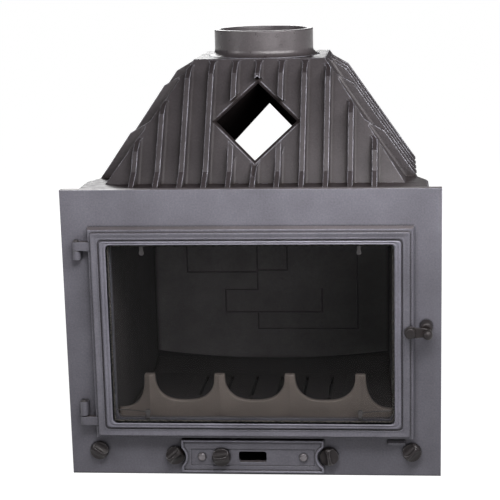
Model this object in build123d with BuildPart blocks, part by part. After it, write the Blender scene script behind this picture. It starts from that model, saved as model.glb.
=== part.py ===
from build123d import *
import math
import os

# Cast-iron fireplace insert: a glazed door on a flat front frame, a firebox behind it with its
# fireback, grate, log guard and ash drawer, and a ribbed smoke hood with a flue collar on top.
# Millimetres. X runs to the right, Y into the chimney breast, Z up.
# The origin is midway along the foot of the front frame's face.

# ---------------------------------------------------------------- driving dimensions
# Front frame
FRAME_WIDTH = 700.0
FRAME_HEIGHT = 548.0
FRAME_THICKNESS = 10.0
FRAME_RIM_WIDTH = 6.0
FRAME_STILE = 90.0
FRAME_HEAD = 102.0
FRAME_RIM_DEPTH = 8.0
MOUTH_WIDTH = FRAME_WIDTH - 2 * FRAME_STILE
MOUTH_BOTTOM = 112.0
MOUTH_TOP = FRAME_HEIGHT - FRAME_HEAD
MOUTH_CORNER = 10.0
REST_LUG_INSET = 25.0
REST_LUG_WIDTH = 32.0
REST_LUG_HEIGHT = 10.0
REST_LUG_PROUD = 12.0
REST_LUG_FLAT = 7.2
REST_LUG_NOSE_DROP = 5.0
REST_LUG_UNDERCUT = 2.4
REST_LUG_GAP = 2.0

# Body behind the frame
BODY_WALL = 8.0
BODY_INSET = 28.0
BODY_TAPER = 22.0
BODY_FRONT_WIDTH = FRAME_WIDTH - 2 * BODY_INSET
BODY_REAR_WIDTH = BODY_FRONT_WIDTH - 2 * BODY_TAPER
TAPER_START_Y = 135.0
TAPER_END_Y = 190.0
BODY_REAR_Y = 478.0
BASE_THICKNESS = 8.0
LIP_WIDTH = 21.0
GASKET_THICKNESS = 1.5

# Flue collar
COLLAR_RADIUS = 100.0
COLLAR_WALL = 10.5
COLLAR_BORE_RADIUS = COLLAR_RADIUS - COLLAR_WALL
COLLAR_RISE = 52.3
COLLAR_REAR_LEDGE = 1.0
COLLAR_Y = BODY_REAR_Y - COLLAR_REAR_LEDGE - COLLAR_RADIUS
COLLAR_COVE = 13.5
COLLAR_SEAT_MARGIN = 2.0
COLLAR_EDGE = 2.5

# Smoke hood
FLANGE_DROP = 6.3
FLANGE_TOP = FRAME_HEIGHT - FLANGE_DROP
FLANGE_THICKNESS = 10.0
FLANGE_OVERHANG = 6.0
FLANGE_CHAMFER = 3.0
HOOD_WALL = 8.0
HOOD_FRONT_Y = 102.5
HOOD_RISE = 222.0
HOOD_TOP = FLANGE_TOP + HOOD_RISE
HOOD_SIDE_LEDGE = 29.0
HOOD_FRONT_LEDGE = 13.0
HOOD_TOP_WIDTH = 2 * (COLLAR_RADIUS + HOOD_SIDE_LEDGE)
FRONT_LEAN = (COLLAR_Y - COLLAR_RADIUS - HOOD_FRONT_LEDGE - HOOD_FRONT_Y) / HOOD_RISE
HOOD_SIDE_INSET = 15.6
SIDE_LEAN = ((BODY_REAR_WIDTH - HOOD_TOP_WIDTH) / 2 - HOOD_SIDE_INSET) / HOOD_RISE
SKIRT_DEPTH = 71.7
SKIRT_BOTTOM = FLANGE_TOP - SKIRT_DEPTH

# Diamond-shaped air tunnel through the hood
TUNNEL_HALF_WIDTH = 78.0
TUNNEL_HALF_HEIGHT = 82.0
TUNNEL_RISE = 108.3
TUNNEL_CENTRE_Z = FLANGE_TOP + TUNNEL_RISE
TUNNEL_SLOPE = 0.267
TUNNEL_WALL = 6.0
TUNNEL_UPPER_MARGIN = 15.0
TUNNEL_LOWER_MARGIN = 7.0

# Cooling ribs
RIB_THICKNESS = 10.0
RIB_ROOT_RADIUS = 6.0
RIB_CHAMFER_DROP = 22.0
RIB_TOP_GAP = 3.0
RIB_SINK = 4.0
FRONT_RIB_COUNT = 11
FRONT_RIB_PITCH = 45.5
FRONT_RIB_REACH = 25.5
FRONT_RIB_FOOT_REACH = 48.5
FRONT_RIB_KNEE = 24.5
SIDE_RIB_COUNT = 5
SIDE_RIB_FIRST_Y = 182.7
SIDE_RIB_REAR_GAP = 47.3
SIDE_RIB_PITCH = (BODY_REAR_Y - SIDE_RIB_REAR_GAP - SIDE_RIB_FIRST_Y) / (SIDE_RIB_COUNT - 1)
SIDE_RIB_REACH = 23.0
SIDE_RIB_FOOT_REACH = 23.5
SIDE_RIB_KNEE = 20.5

# Door
DOOR_SIDE_LAP = 32.0
DOOR_TOP_LAP = 26.0
DOOR_BOTTOM_LAP = 28.5
DOOR_WIDTH = MOUTH_WIDTH + 2 * DOOR_SIDE_LAP
DOOR_BOTTOM = MOUTH_BOTTOM - DOOR_BOTTOM_LAP
DOOR_TOP = MOUTH_TOP + DOOR_TOP_LAP
DOOR_CORNER = 3.0
DOOR_GAP = 3.0
DOOR_RIM = 5.0
DOOR_RIM_DEPTH = 15.0
DOOR_DRAFT = 3.5
DOOR_FACE_DEPTH = 4.0
DOOR_STILE = 28.0
DOOR_SILL = 25.0
DOOR_HEAD = 22.5
GLASS_OPENING_WIDTH = DOOR_WIDTH - 2 * DOOR_STILE
GLASS_OPENING_BOTTOM = DOOR_BOTTOM + DOOR_SILL
GLASS_OPENING_TOP = DOOR_TOP - DOOR_HEAD
GLASS_OPENING_CORNER = 7.5
DOOR_LIP = 8.0
GLASS_REBATE = 8.0
DOOR_GROOVE_INSET = 13.0
DOOR_GROOVE_WIDTH = 2.5
DOOR_GROOVE_DEPTH = 1.5
DOOR_BEAD_WIDTH = 4.0
DOOR_BEAD_HEIGHT = 1.0
GLASS_THICKNESS = 4.0
GLASS_CLEARANCE = 2.0
GLASS_GASKET = 0.8
SEAL_INSET = 8.0
SEAL_WIDTH = 8.0
SEAL_GROOVE_DEPTH = 6.0
SEAL_GAP = 0.5
CLIP_SETBACK = 72.0
CLIP_X = GLASS_OPENING_WIDTH / 2 + GLASS_REBATE - CLIP_SETBACK
CLIP_WIDTH = 14.0
CLIP_REACH = 25.5
CLIP_THICKNESS = 2.0
CLIP_BUTTON_RADIUS = 5.0
CLIP_FOOT_THICKNESS = 1.6
CLIP_SCREW_RADIUS = 1.25
CLIP_SCREW_HEAD_RADIUS = 1.6
CLIP_SCREW_HEAD_HEIGHT = 1.2
CLIP_SCREW_ENTRY = 6.0
CLIP_FOOT_CLEARANCE = 0.2

# Hinges, on the left
HINGE_OFFSET = 28.0
HINGE_X = -DOOR_WIDTH / 2 - HINGE_OFFSET
HINGE_Y = -12.0
PIN_RADIUS = 3.0
PIN_CLEARANCE = 0.06
KNUCKLE_RADIUS = 7.0
UPPER_KNUCKLE_DROP = 51.0
UPPER_KNUCKLE_Z = DOOR_TOP - UPPER_KNUCKLE_DROP
UPPER_KNUCKLE_HEIGHT = 16.0
LOWER_KNUCKLE_RISE = 36.5
LOWER_KNUCKLE_Z = DOOR_BOTTOM + LOWER_KNUCKLE_RISE
LOWER_KNUCKLE_HEIGHT = 27.0
DOOR_LUG_HEIGHT = 16.0
WASHER_THICKNESS = 1.0

# Latch, on the right
LATCH_X = DOOR_WIDTH / 2
LATCH_RAISE = 9.75
LATCH_Z = (DOOR_BOTTOM + DOOR_TOP) / 2 + LATCH_RAISE
LATCH_REACH = 31.8
LATCH_THICKNESS = 6.0
LATCH_EYE_RADIUS = 10.5
LATCH_TIP_RADIUS = 7.5
LATCH_BOSS_RADIUS = 9.0
LATCH_BOSS_HEIGHT = 8.0
LATCH_BOLT_RADIUS = 4.0
LATCH_HEAD_RADIUS = 10.0
LATCH_HEAD_HEIGHT = 6.0
LATCH_BALL_RADIUS = 9.0
LATCH_BALL_STEM = 7.0
LATCH_BALL_SINK = 2.0
LATCH_STEM_RADIUS = 3.0
LATCH_STEM_STEP = 1.0
KEEPER_OFFSET = 30.0
KEEPER_RAISE = 4.5
KEEPER_X = LATCH_X + KEEPER_OFFSET
KEEPER_Z = LATCH_Z + KEEPER_RAISE
KEEPER_RADIUS = 11.5
KEEPER_PROUD = 26.0

# Turned knobs: one on the ash cover, four on the front frame
KNOB_RADIUS = 17.5
KNOB_RIM = 5.0
KNOB_PROUD = 18.0
KNOB_BLADE = 2.8
KNOB_SCOOP_RADIUS = 15.0
KNOB_HUB_RADIUS = 8.0
KNOB_HUB_HEIGHT = 3.0
SPINDLE_RADIUS = 4.0
SPINDLE_CLEARANCE = 0.06
SPINDLE_SINK = 8.0
VALVE_Z = 39.0
OUTER_VALVE_INSET = 54.0
OUTER_VALVE_X = FRAME_WIDTH / 2 - OUTER_VALVE_INSET
OUTER_VALVE_RAISE = 9.0
PORT_COUNT = 3
PORT_RADIUS = 4.5
PORT_CIRCLE_RADIUS = 10.5
SHUTTER_RADIUS = 16.5
SHUTTER_THICKNESS = 2.0
BLADE_ANGLES = {"left_outer": -31.0, "left_inner": 40.0, "right_inner": 99.0, "right_outer": 42.0}
COVER_BLADE_ANGLE = 9.0

# Ash cover and ash pan
COVER_X = -3.3
COVER_WIDTH = 268.6
LEFT_VALVE_GAP = 13.9
RIGHT_VALVE_GAP = 9.8
LEFT_INNER_VALVE_X = COVER_X - COVER_WIDTH / 2 - LEFT_VALVE_GAP
RIGHT_INNER_VALVE_X = COVER_X + COVER_WIDTH / 2 + RIGHT_VALVE_GAP
COVER_BOTTOM = 8.5
COVER_TOP = 72.5
COVER_DEPTH = 12.5
COVER_PLATE = 6.0
COVER_SCALLOP_RADIUS = 22.0
COVER_BLEND_RADIUS = 7.0
COVER_BORDER_WIDTH = 4.5
COVER_BORDER_HEIGHT = 2.0
COVER_PANEL_SETBACK = 17.3
COVER_PANEL_WIDTH = COVER_WIDTH - 2 * COVER_PANEL_SETBACK
COVER_PANEL_BOTTOM = 21.5
COVER_PANEL_TOP = 55.0
COVER_PANEL_DEPTH = 1.5
RIVET_SETBACK = 38.3
RIVET_SPACING = COVER_WIDTH - 2 * RIVET_SETBACK
RIVET_X = COVER_X
RIVET_Z = VALVE_Z
RIVET_HEAD_RADIUS = 8.0
RIVET_HEAD_HEIGHT = 5.0
RIVET_HEAD_ROUND = 4.0
RIVET_TAIL_HEIGHT = 2.5
RIVET_SHANK_RADIUS = 3.0
RIVET_TAIL_RADIUS = 5.0
COVER_KNOB_OFFSET = 58.7
COVER_KNOB_RAISE = 1.0
COVER_KNOB_X = COVER_X - COVER_KNOB_OFFSET
COVER_KNOB_Z = VALVE_Z + COVER_KNOB_RAISE
SLOT_X = COVER_X
SLOT_WIDTH = 53.0
SLOT_Z = VALVE_Z
SLOT_HEIGHT = 21.0
SLOT_CORNER = 5.0
COVER_SIDE_LAP = 18.3
ASH_OPENING_WIDTH = COVER_WIDTH - 2 * COVER_SIDE_LAP
ASH_OPENING_BOTTOM = 14.0
ASH_OPENING_TOP = 66.0
ASH_OPENING_CORNER = 3.0
PAN_SIDE_GAP = 6.0
PAN_WIDTH = ASH_OPENING_WIDTH - 2 * PAN_SIDE_GAP
PAN_HEIGHT = 40.0
PAN_WALL = 2.0
CATCH_LENGTH = 32.0
CATCH_WIDTH = 12.0
CATCH_THICKNESS = 3.0
CATCH_EYE_MARGIN = 2.0
CATCH_GAP = 0.6

# Hearth
HEARTH_Z = 85.0
HEARTH_THICKNESS = 8.0
HEARTH_FRONT_Y = 12.0
FIREBACK_SETBACK = 48.0
FIREBACK_Y = BODY_REAR_Y - FIREBACK_SETBACK
RAMP_LENGTH = 50.0
RAMP_START_Y = FIREBACK_Y - RAMP_LENGTH
RAMP_RISE = 20.0
CHAMBER_SIDE_GAP = 6.0
CHAMBER_WIDTH = ASH_OPENING_WIDTH + 2 * CHAMBER_SIDE_GAP
GRATE_SPREAD = 40.0
GRATE_REAR_GAP = 1.0
GRATE_WIDTH = CHAMBER_WIDTH + 2 * GRATE_SPREAD
GRATE_FRONT_Y = 57.0
GRATE_REAR_Y = RAMP_START_Y - GRATE_REAR_GAP
PAN_REAR_GAP = 49.0
PAN_LENGTH = GRATE_REAR_Y - PAN_REAR_GAP
GRATE_SLOT_PITCH = 53.0
GRATE_SLOT_COUNT = 6
GRATE_SLOT_WIDTH = 7.0
GRATE_SLOT_LENGTH = 130.0
CHAMBER_WALL = 6.0
CHAMBER_SPLAY_Z = 56.0
CHAMBER_SLOT_LENGTH = 40.0
CHAMBER_SLOT_HEIGHT = 12.0
CHANNEL_WIDTH = 103.0
DIVIDER_X = CHAMBER_WIDTH / 2 + CHANNEL_WIDTH
RUNNER_INSET = 15.0
RUNNER_X = PAN_WIDTH / 2 - RUNNER_INSET
RUNNER_WIDTH = 8.0

# Firebox linings
FIREBACK_THICKNESS = 10.0
FIREBACK_EDGE_RISE = 17.0
FIREBACK_BOSS_RADIUS = 12.0
FIREBACK_BOSS_X = 150.0
LINER_SETBACK = 6.0
LINER_TAPER = 14.0
LINER_LAP = 14.0
LINER_FRONT_X = MOUTH_WIDTH / 2 + LINER_SETBACK
LINER_REAR_X = LINER_FRONT_X - LINER_TAPER
LINER_TOP = MOUTH_TOP + LINER_LAP
FIREBACK_BOSS_RISE = 95.0
FIREBACK_BOSS_DROP = 80.0
FIREBACK_BOSS_HEIGHTS = (HEARTH_Z + FIREBACK_BOSS_RISE, LINER_TOP - FIREBACK_BOSS_DROP)
LINING_GAP = 1.0
BAFFLE_FRONT_Y = 140.0
BAFFLE_THICKNESS = 8.0
GUARD_Y = 24.0
GUARD_THICKNESS = 12.0
GUARD_SIDE_GAP = 4.0
GUARD_HALF_WIDTH = LINER_FRONT_X - GUARD_SIDE_GAP
GUARD_TOP = 190.0
GUARD_POST_COUNT = 4
GUARD_END_REACH = 62.0
GUARD_POST_PITCH = 2 * (GUARD_HALF_WIDTH - GUARD_END_REACH) / (GUARD_POST_COUNT - 1)
GUARD_POST_WIDTH = 20.0
GUARD_TROUGH_DEPTH = 53.0
GUARD_END_DEPTH = 70.0
GUARD_CREASE = 3.0

# Fasteners and fits
BOLT_RADIUS = 3.0
BOLT_HEAD_RADIUS = 5.8
BOLT_HEAD_HEIGHT = 4.0
BOLT_END_WALL = 2.0
BOLT_HOLE_CLEARANCE = 0.5
NUT_HEIGHT = 5.0
MOVING_GAP = 0.4

# ---------------------------------------------------------------- derived places
FLANGE_BOTTOM = FLANGE_TOP - FLANGE_THICKNESS
PANEL_TOP = FLANGE_BOTTOM - GASKET_THICKNESS
PANEL_FRONT_Y = FRAME_THICKNESS + GASKET_THICKNESS
BACK_FRONT_Y = BODY_REAR_Y - BODY_WALL
COLLAR_RIM_Z = HOOD_TOP + COLLAR_RISE
DOOR_BACK_Y = -DOOR_GAP
DOOR_RIM_Y = DOOR_BACK_Y - DOOR_RIM_DEPTH
DOOR_FACE_Y = DOOR_RIM_Y - DOOR_FACE_DEPTH
DOOR_HALF = DOOR_WIDTH / 2
REBATE_FLOOR_Y = DOOR_FACE_Y + DOOR_LIP
REBATE_BOTTOM = GLASS_OPENING_BOTTOM - GLASS_REBATE
REBATE_TOP = GLASS_OPENING_TOP + GLASS_REBATE
GLASS_FRONT_Y = REBATE_FLOOR_Y + GLASS_GASKET
GLASS_BACK_Y = GLASS_FRONT_Y + GLASS_THICKNESS
CLIP_FOOT_Y = DOOR_BACK_Y - CLIP_FOOT_CLEARANCE
CLIP_SCREW_Y = (GLASS_BACK_Y + CLIP_THICKNESS + CLIP_FOOT_Y) / 2
HEARTH_UNDER_Z = HEARTH_Z - HEARTH_THICKNESS
RAMP_TOP_Z = HEARTH_Z + RAMP_RISE
FIREBACK_REAR_Y = FIREBACK_Y + FIREBACK_THICKNESS
BOLT_HOLE_RADIUS = BOLT_RADIUS + BOLT_HOLE_CLEARANCE
SPINDLE_HOLE_RADIUS = SPINDLE_RADIUS + SPINDLE_CLEARANCE
VALVES = {
    "left_outer": (-OUTER_VALVE_X, VALVE_Z + OUTER_VALVE_RAISE),
    "left_inner": (LEFT_INNER_VALVE_X, VALVE_Z),
    "right_inner": (RIGHT_INNER_VALVE_X, VALVE_Z),
    "right_outer": (OUTER_VALVE_X, VALVE_Z + OUTER_VALVE_RAISE),
}

os.makedirs("parts", exist_ok=True)


# ---------------------------------------------------------------- shared helpers
def finish(builder, name):
    """Label a finished piece and write it to its own file."""
    builder.part.label = name
    export_step(builder.part, f"parts/{name}.step")


def front_plane(y):
    """Plane facing the viewer at depth y: a positive extrusion comes forwards."""
    return Plane.XZ.offset(-y)


def edge_box(half_width, bottom, top, radius=0.0, mode=Mode.ADD):
    """Upright rectangle centred on X = 0 between two heights, with round corners if asked."""
    with Locations((0, (bottom + top) / 2)):
        if radius > 0:
            RectangleRounded(2 * half_width, top - bottom, radius, mode=mode)
        else:
            Rectangle(2 * half_width, top - bottom, mode=mode)


def body_side(outset, front_y, rear_y):
    """Plan points down the right side of the body, front to rear, moved outwards by outset."""
    return [
        (BODY_FRONT_WIDTH / 2 + outset, front_y),
        (BODY_FRONT_WIDTH / 2 + outset, TAPER_START_Y),
        (BODY_REAR_WIDTH / 2 + outset, TAPER_END_Y),
        (BODY_REAR_WIDTH / 2 + outset, rear_y),
    ]


def body_outline(outset, front_y, rear_y):
    """Plan of the whole body as a closed list of points."""
    right = body_side(outset, front_y, rear_y)
    return right + [(-x, y) for x, y in reversed(right)]


def hood_front_y(z):
    """Depth of the hood's leaning front face at height z."""
    return HOOD_FRONT_Y + (z - FLANGE_TOP) * FRONT_LEAN


def hood_side_x(z):
    """Half-width of the hood at height z."""
    return HOOD_TOP_WIDTH / 2 + (HOOD_TOP - z) * SIDE_LEAN


def lean_thickness(thickness, lean):
    """Level thickness of a wall that leans by lean, for a given true thickness."""
    return thickness * math.sqrt(1 + lean * lean)


def make_bolt(shank_length, shank_radius=BOLT_RADIUS):
    """Hexagon-head bolt: head above Z = 0, shank below it."""
    with BuildPart() as bolt:
        with BuildSketch():
            RegularPolygon(radius=BOLT_HEAD_RADIUS, side_count=6)
        extrude(amount=BOLT_HEAD_HEIGHT)
        with BuildSketch():
            Circle(shank_radius)
        extrude(amount=-shank_length)
    return bolt.part


HEAD_TO_REAR = (-90, 0, 0)
HEAD_DOWN = (180, 0, 0)
HEAD_UP = (0, 0, 0)


def place_bolts(bolt, places, turn):
    """Copies of one bolt at several places, all turned the same way."""
    return [bolt.moved(Location(place, turn)) for place in places]


# ---------------------------------------------------------------- bolt places
def spaced(first, last, count):
    """Evenly spaced values from first to last."""
    return [first + index * (last - first) / (count - 1) for index in range(count)]


LIP_BOLT_INSET = (BODY_WALL + LIP_WIDTH) / 2
LIP_BOLT_X = BODY_FRONT_WIDTH / 2 - LIP_BOLT_INSET
BACK_BOLT_X = BODY_REAR_WIDTH / 2 - LIP_BOLT_INSET
FRAME_BOLT_FIRST_Z = 100.0
FRAME_BOLT_TOP_INSET = 40.2
BACK_BOLT_FIRST_Z = 60.0
BACK_BOLT_TOP_INSET = 50.0
HOOD_BOLT_FIRST_Y = 60.0
HOOD_BOLT_REAR_INSET = 58.0
BASE_BOLT_FIRST_Y = 80.0
BASE_BOLT_REAR_INSET = 48.0
TAPER_FRONT_INSET = 20.0
TAPER_REAR_INSET = 65.0
FRAME_BOLT_HEIGHTS = spaced(FRAME_BOLT_FIRST_Z, PANEL_TOP - FRAME_BOLT_TOP_INSET, 4)
BACK_BOLT_HEIGHTS = spaced(BACK_BOLT_FIRST_Z, SKIRT_BOTTOM - BACK_BOLT_TOP_INSET, 3)
HOOD_BOLT_DEPTHS = [
    HOOD_BOLT_FIRST_Y,
    TAPER_START_Y - TAPER_FRONT_INSET,
    TAPER_END_Y + TAPER_REAR_INSET,
    BODY_REAR_Y - HOOD_BOLT_REAR_INSET,
]
BASE_BOLT_DEPTHS = [BASE_BOLT_FIRST_Y, TAPER_END_Y + TAPER_REAR_INSET, BODY_REAR_Y - BASE_BOLT_REAR_INSET]
FRAME_BOLTS = [(side * LIP_BOLT_X, z) for side in (-1, 1) for z in FRAME_BOLT_HEIGHTS]


def lip_centre_x(y):
    """Distance from the middle to the bolts in the side panel's lips at depth y."""
    if y <= TAPER_START_Y:
        return LIP_BOLT_X
    return BACK_BOLT_X


HOOD_BOLTS = [(side * lip_centre_x(y), y) for side in (-1, 1) for y in HOOD_BOLT_DEPTHS]
BASE_BOLTS = [(side * lip_centre_x(y), y) for side in (-1, 1) for y in BASE_BOLT_DEPTHS]
BACK_BOLTS = [(side * BACK_BOLT_X, z) for side in (-1, 1) for z in BACK_BOLT_HEIGHTS]
FIREBACK_BOLTS = [(side * FIREBACK_BOSS_X, z) for side in (-1, 1) for z in FIREBACK_BOSS_HEIGHTS]
FRAME_BOLT_ENTRY = FRAME_THICKNESS - BOLT_END_WALL
HOOD_BOLT_ENTRY = FLANGE_THICKNESS - BOLT_END_WALL
BASE_BOLT_ENTRY = BASE_THICKNESS - BOLT_END_WALL
FIREBACK_BOLT_ENTRY = 15.0

# ---------------------------------------------------------------- front frame
with BuildPart() as front_frame:
    with BuildSketch(front_plane(FRAME_THICKNESS)):
        edge_box(FRAME_WIDTH / 2, 0, FRAME_HEIGHT)
        edge_box(MOUTH_WIDTH / 2, MOUTH_BOTTOM, MOUTH_TOP, MOUTH_CORNER, Mode.SUBTRACT)
        ash_half = ASH_OPENING_WIDTH / 2
        edge_box(ash_half, ASH_OPENING_BOTTOM, ASH_OPENING_TOP, ASH_OPENING_CORNER, Mode.SUBTRACT)
    extrude(amount=FRAME_THICKNESS)
    # stiffening rim behind the top and side edges
    with BuildSketch(front_plane(FRAME_THICKNESS)):
        edge_box(FRAME_WIDTH / 2, 0, FRAME_HEIGHT)
        edge_box(FRAME_WIDTH / 2 - FRAME_RIM_WIDTH, 0, FRAME_HEIGHT - FRAME_RIM_WIDTH, 0, Mode.SUBTRACT)
    extrude(amount=-FRAME_RIM_DEPTH)
    # wedge that the closed door's free corner rides up on
    lug_top = DOOR_BOTTOM - DOOR_RIM - DOOR_DRAFT - REST_LUG_GAP
    with BuildSketch(Plane.YZ.offset(DOOR_WIDTH / 2 - REST_LUG_INSET - REST_LUG_WIDTH / 2)):
        with BuildLine():
            Polyline(
                (0, lug_top - REST_LUG_HEIGHT),
                (0, lug_top),
                (-REST_LUG_FLAT, lug_top),
                (-REST_LUG_PROUD, lug_top - REST_LUG_NOSE_DROP),
                (-REST_LUG_PROUD + REST_LUG_UNDERCUT, lug_top - REST_LUG_HEIGHT),
                close=True,
            )
        make_face()
    extrude(amount=REST_LUG_WIDTH)
    # hinge knuckles with their pin holes
    for knuckle_z, knuckle_height in (
        (UPPER_KNUCKLE_Z, UPPER_KNUCKLE_HEIGHT),
        (LOWER_KNUCKLE_Z, LOWER_KNUCKLE_HEIGHT),
    ):
        with BuildSketch(Plane.XY.offset(knuckle_z)):
            with Locations((HINGE_X, HINGE_Y)):
                Circle(KNUCKLE_RADIUS)
            with Locations((HINGE_X, HINGE_Y / 2)):
                Rectangle(2 * KNUCKLE_RADIUS, -HINGE_Y)
            with Locations((HINGE_X, HINGE_Y)):
                Circle(PIN_RADIUS, mode=Mode.SUBTRACT)
        extrude(amount=knuckle_height)
    # spindle holes with their rings of air ports, under the four knobs
    with BuildSketch(front_plane(FRAME_THICKNESS)):
        for valve_x, valve_z in VALVES.values():
            with Locations((valve_x, valve_z)):
                Circle(SPINDLE_HOLE_RADIUS)
                with PolarLocations(PORT_CIRCLE_RADIUS, PORT_COUNT, start_angle=90):
                    Circle(PORT_RADIUS)
    extrude(amount=FRAME_THICKNESS, mode=Mode.SUBTRACT)
    # blind holes: for the bolts in the back, for the keeper in the face
    with BuildSketch(front_plane(FRAME_THICKNESS)):
        with Locations(*FRAME_BOLTS):
            Circle(BOLT_RADIUS)
    extrude(amount=FRAME_BOLT_ENTRY, mode=Mode.SUBTRACT)
    with BuildSketch(Plane.XZ):
        with Locations((KEEPER_X, KEEPER_Z)):
            Circle(BOLT_RADIUS)
    extrude(amount=-FRAME_BOLT_ENTRY, mode=Mode.SUBTRACT)
finish(front_frame, "front_frame")

# ---------------------------------------------------------------- base plate
with BuildPart() as base_plate:
    with BuildSketch():
        with BuildLine():
            Polyline(*body_outline(0, FRAME_THICKNESS, BODY_REAR_Y), close=True)
        make_face()
    extrude(amount=BASE_THICKNESS)
    with BuildSketch(Plane.XY.offset(BASE_THICKNESS)):
        with Locations(*BASE_BOLTS):
            Circle(BOLT_RADIUS)
    extrude(amount=-BASE_BOLT_ENTRY, mode=Mode.SUBTRACT)
    # upright ribs that part the two air channels and carry the hearth bed
    divider_length = FIREBACK_REAR_Y - PANEL_FRONT_Y
    with BuildSketch(Plane.XY.offset(BASE_THICKNESS)):
        with Locations(*[(side * DIVIDER_X, PANEL_FRONT_Y + divider_length / 2) for side in (-1, 1)]):
            Rectangle(CHAMBER_WALL, divider_length)
    extrude(amount=HEARTH_UNDER_Z - BASE_THICKNESS)
    # runners under the ash pan
    with BuildSketch(Plane.XY.offset(BASE_THICKNESS)):
        with Locations(*[(side * RUNNER_X, PANEL_FRONT_Y + PAN_LENGTH / 2) for side in (-1, 1)]):
            Rectangle(RUNNER_WIDTH, PAN_LENGTH)
    extrude(amount=ASH_OPENING_BOTTOM - BASE_THICKNESS)
finish(base_plate, "base_plate")

# ---------------------------------------------------------------- side panels
VALVE_ROOM = 8.0
LIP_START_Z = VALVE_Z + OUTER_VALVE_RAISE + SHUTTER_RADIUS + VALVE_ROOM
BASE_LIP_START_Y = 40.0

with BuildPart() as side_panel_right:
    with BuildSketch(Plane.XY.offset(BASE_THICKNESS)):
        with BuildLine():
            Polyline(
                *body_side(0, PANEL_FRONT_Y, BACK_FRONT_Y),
                *reversed(body_side(-BODY_WALL, PANEL_FRONT_Y, BACK_FRONT_Y)),
                close=True,
            )
        make_face()
    extrude(amount=PANEL_TOP - BASE_THICKNESS)
    # top lip under the hood flange
    with BuildSketch(Plane.XY.offset(PANEL_TOP - BODY_WALL)):
        with BuildLine():
            Polyline(
                *body_side(-BODY_WALL / 2, PANEL_FRONT_Y, BACK_FRONT_Y),
                *reversed(body_side(-LIP_WIDTH, PANEL_FRONT_Y, BACK_FRONT_Y)),
                close=True,
            )
        make_face()
    extrude(amount=BODY_WALL)
    # foot lip on the base plate
    with BuildSketch(Plane.XY.offset(BASE_THICKNESS)):
        with BuildLine():
            Polyline(
                *body_side(-BODY_WALL / 2, BASE_LIP_START_Y, BACK_FRONT_Y),
                *reversed(body_side(-LIP_WIDTH, BASE_LIP_START_Y, BACK_FRONT_Y)),
                close=True,
            )
        make_face()
    extrude(amount=BODY_WALL)
    # front lip against the frame, above the air valve
    with BuildSketch(Plane.XY.offset(LIP_START_Z)):
        with Locations((BODY_FRONT_WIDTH / 2 - LIP_WIDTH / 2, PANEL_FRONT_Y + BODY_WALL / 2)):
            Rectangle(LIP_WIDTH, BODY_WALL)
    extrude(amount=PANEL_TOP - LIP_START_Z)
    # rear lip against the back panel
    with BuildSketch(Plane.XY.offset(BASE_THICKNESS)):
        with Locations((BODY_REAR_WIDTH / 2 - LIP_WIDTH / 2, BACK_FRONT_Y - BODY_WALL / 2)):
            Rectangle(LIP_WIDTH, BODY_WALL)
    extrude(amount=SKIRT_BOTTOM - BASE_THICKNESS)
    # clearance holes through the four lips
    with BuildSketch(Plane.XY.offset(PANEL_TOP)):
        with Locations(*[place for place in HOOD_BOLTS if place[0] > 0]):
            Circle(BOLT_HOLE_RADIUS)
    extrude(amount=-BODY_WALL, mode=Mode.SUBTRACT)
    with BuildSketch(Plane.XY.offset(BASE_THICKNESS)):
        with Locations(*[place for place in BASE_BOLTS if place[0] > 0]):
            Circle(BOLT_HOLE_RADIUS)
    extrude(amount=BODY_WALL, mode=Mode.SUBTRACT)
    with BuildSketch(front_plane(PANEL_FRONT_Y)):
        with Locations(*[place for place in FRAME_BOLTS if place[0] > 0]):
            Circle(BOLT_HOLE_RADIUS)
    extrude(amount=-BODY_WALL, mode=Mode.SUBTRACT)
    with BuildSketch(front_plane(BACK_FRONT_Y)):
        with Locations(*[place for place in BACK_BOLTS if place[0] > 0]):
            Circle(BOLT_HOLE_RADIUS)
    extrude(amount=BODY_WALL, mode=Mode.SUBTRACT)
finish(side_panel_right, "side_panel_right")

with BuildPart() as side_panel_left:
    mirror(side_panel_right.part, about=Plane.YZ)
finish(side_panel_left, "side_panel_left")

# ---------------------------------------------------------------- back panel
with BuildPart() as back_panel:
    with BuildSketch(front_plane(BODY_REAR_Y)):
        edge_box(BODY_REAR_WIDTH / 2, BASE_THICKNESS, SKIRT_BOTTOM)
        with Locations(*BACK_BOLTS, *FIREBACK_BOLTS):
            Circle(BOLT_HOLE_RADIUS, mode=Mode.SUBTRACT)
    extrude(amount=BODY_WALL)
finish(back_panel, "back_panel")

# ---------------------------------------------------------------- gaskets between the castings
with BuildPart() as hood_gasket:
    for side in (-1, 1):
        with BuildSketch(Plane.XY.offset(PANEL_TOP)):
            with BuildLine():
                Polyline(
                    *[(side * x, y) for x, y in body_side(0, PANEL_FRONT_Y, BACK_FRONT_Y)],
                    *[(side * x, y) for x, y in reversed(body_side(-LIP_WIDTH, PANEL_FRONT_Y, BACK_FRONT_Y))],
                    close=True,
                )
            make_face()
            with Locations(*[place for place in HOOD_BOLTS if place[0] * side > 0]):
                Circle(BOLT_HOLE_RADIUS, mode=Mode.SUBTRACT)
        extrude(amount=GASKET_THICKNESS)
finish(hood_gasket, "hood_gasket")

with BuildPart() as frame_gasket:
    with BuildSketch(front_plane(PANEL_FRONT_Y)):
        lip_x = (BODY_FRONT_WIDTH - LIP_WIDTH) / 2
        with Locations(*[(side * lip_x, (LIP_START_Z + PANEL_TOP) / 2) for side in (-1, 1)]):
            Rectangle(LIP_WIDTH, PANEL_TOP - LIP_START_Z)
        with Locations(*FRAME_BOLTS):
            Circle(BOLT_HOLE_RADIUS, mode=Mode.SUBTRACT)
    extrude(amount=GASKET_THICKNESS)
finish(frame_gasket, "frame_gasket")


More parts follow.
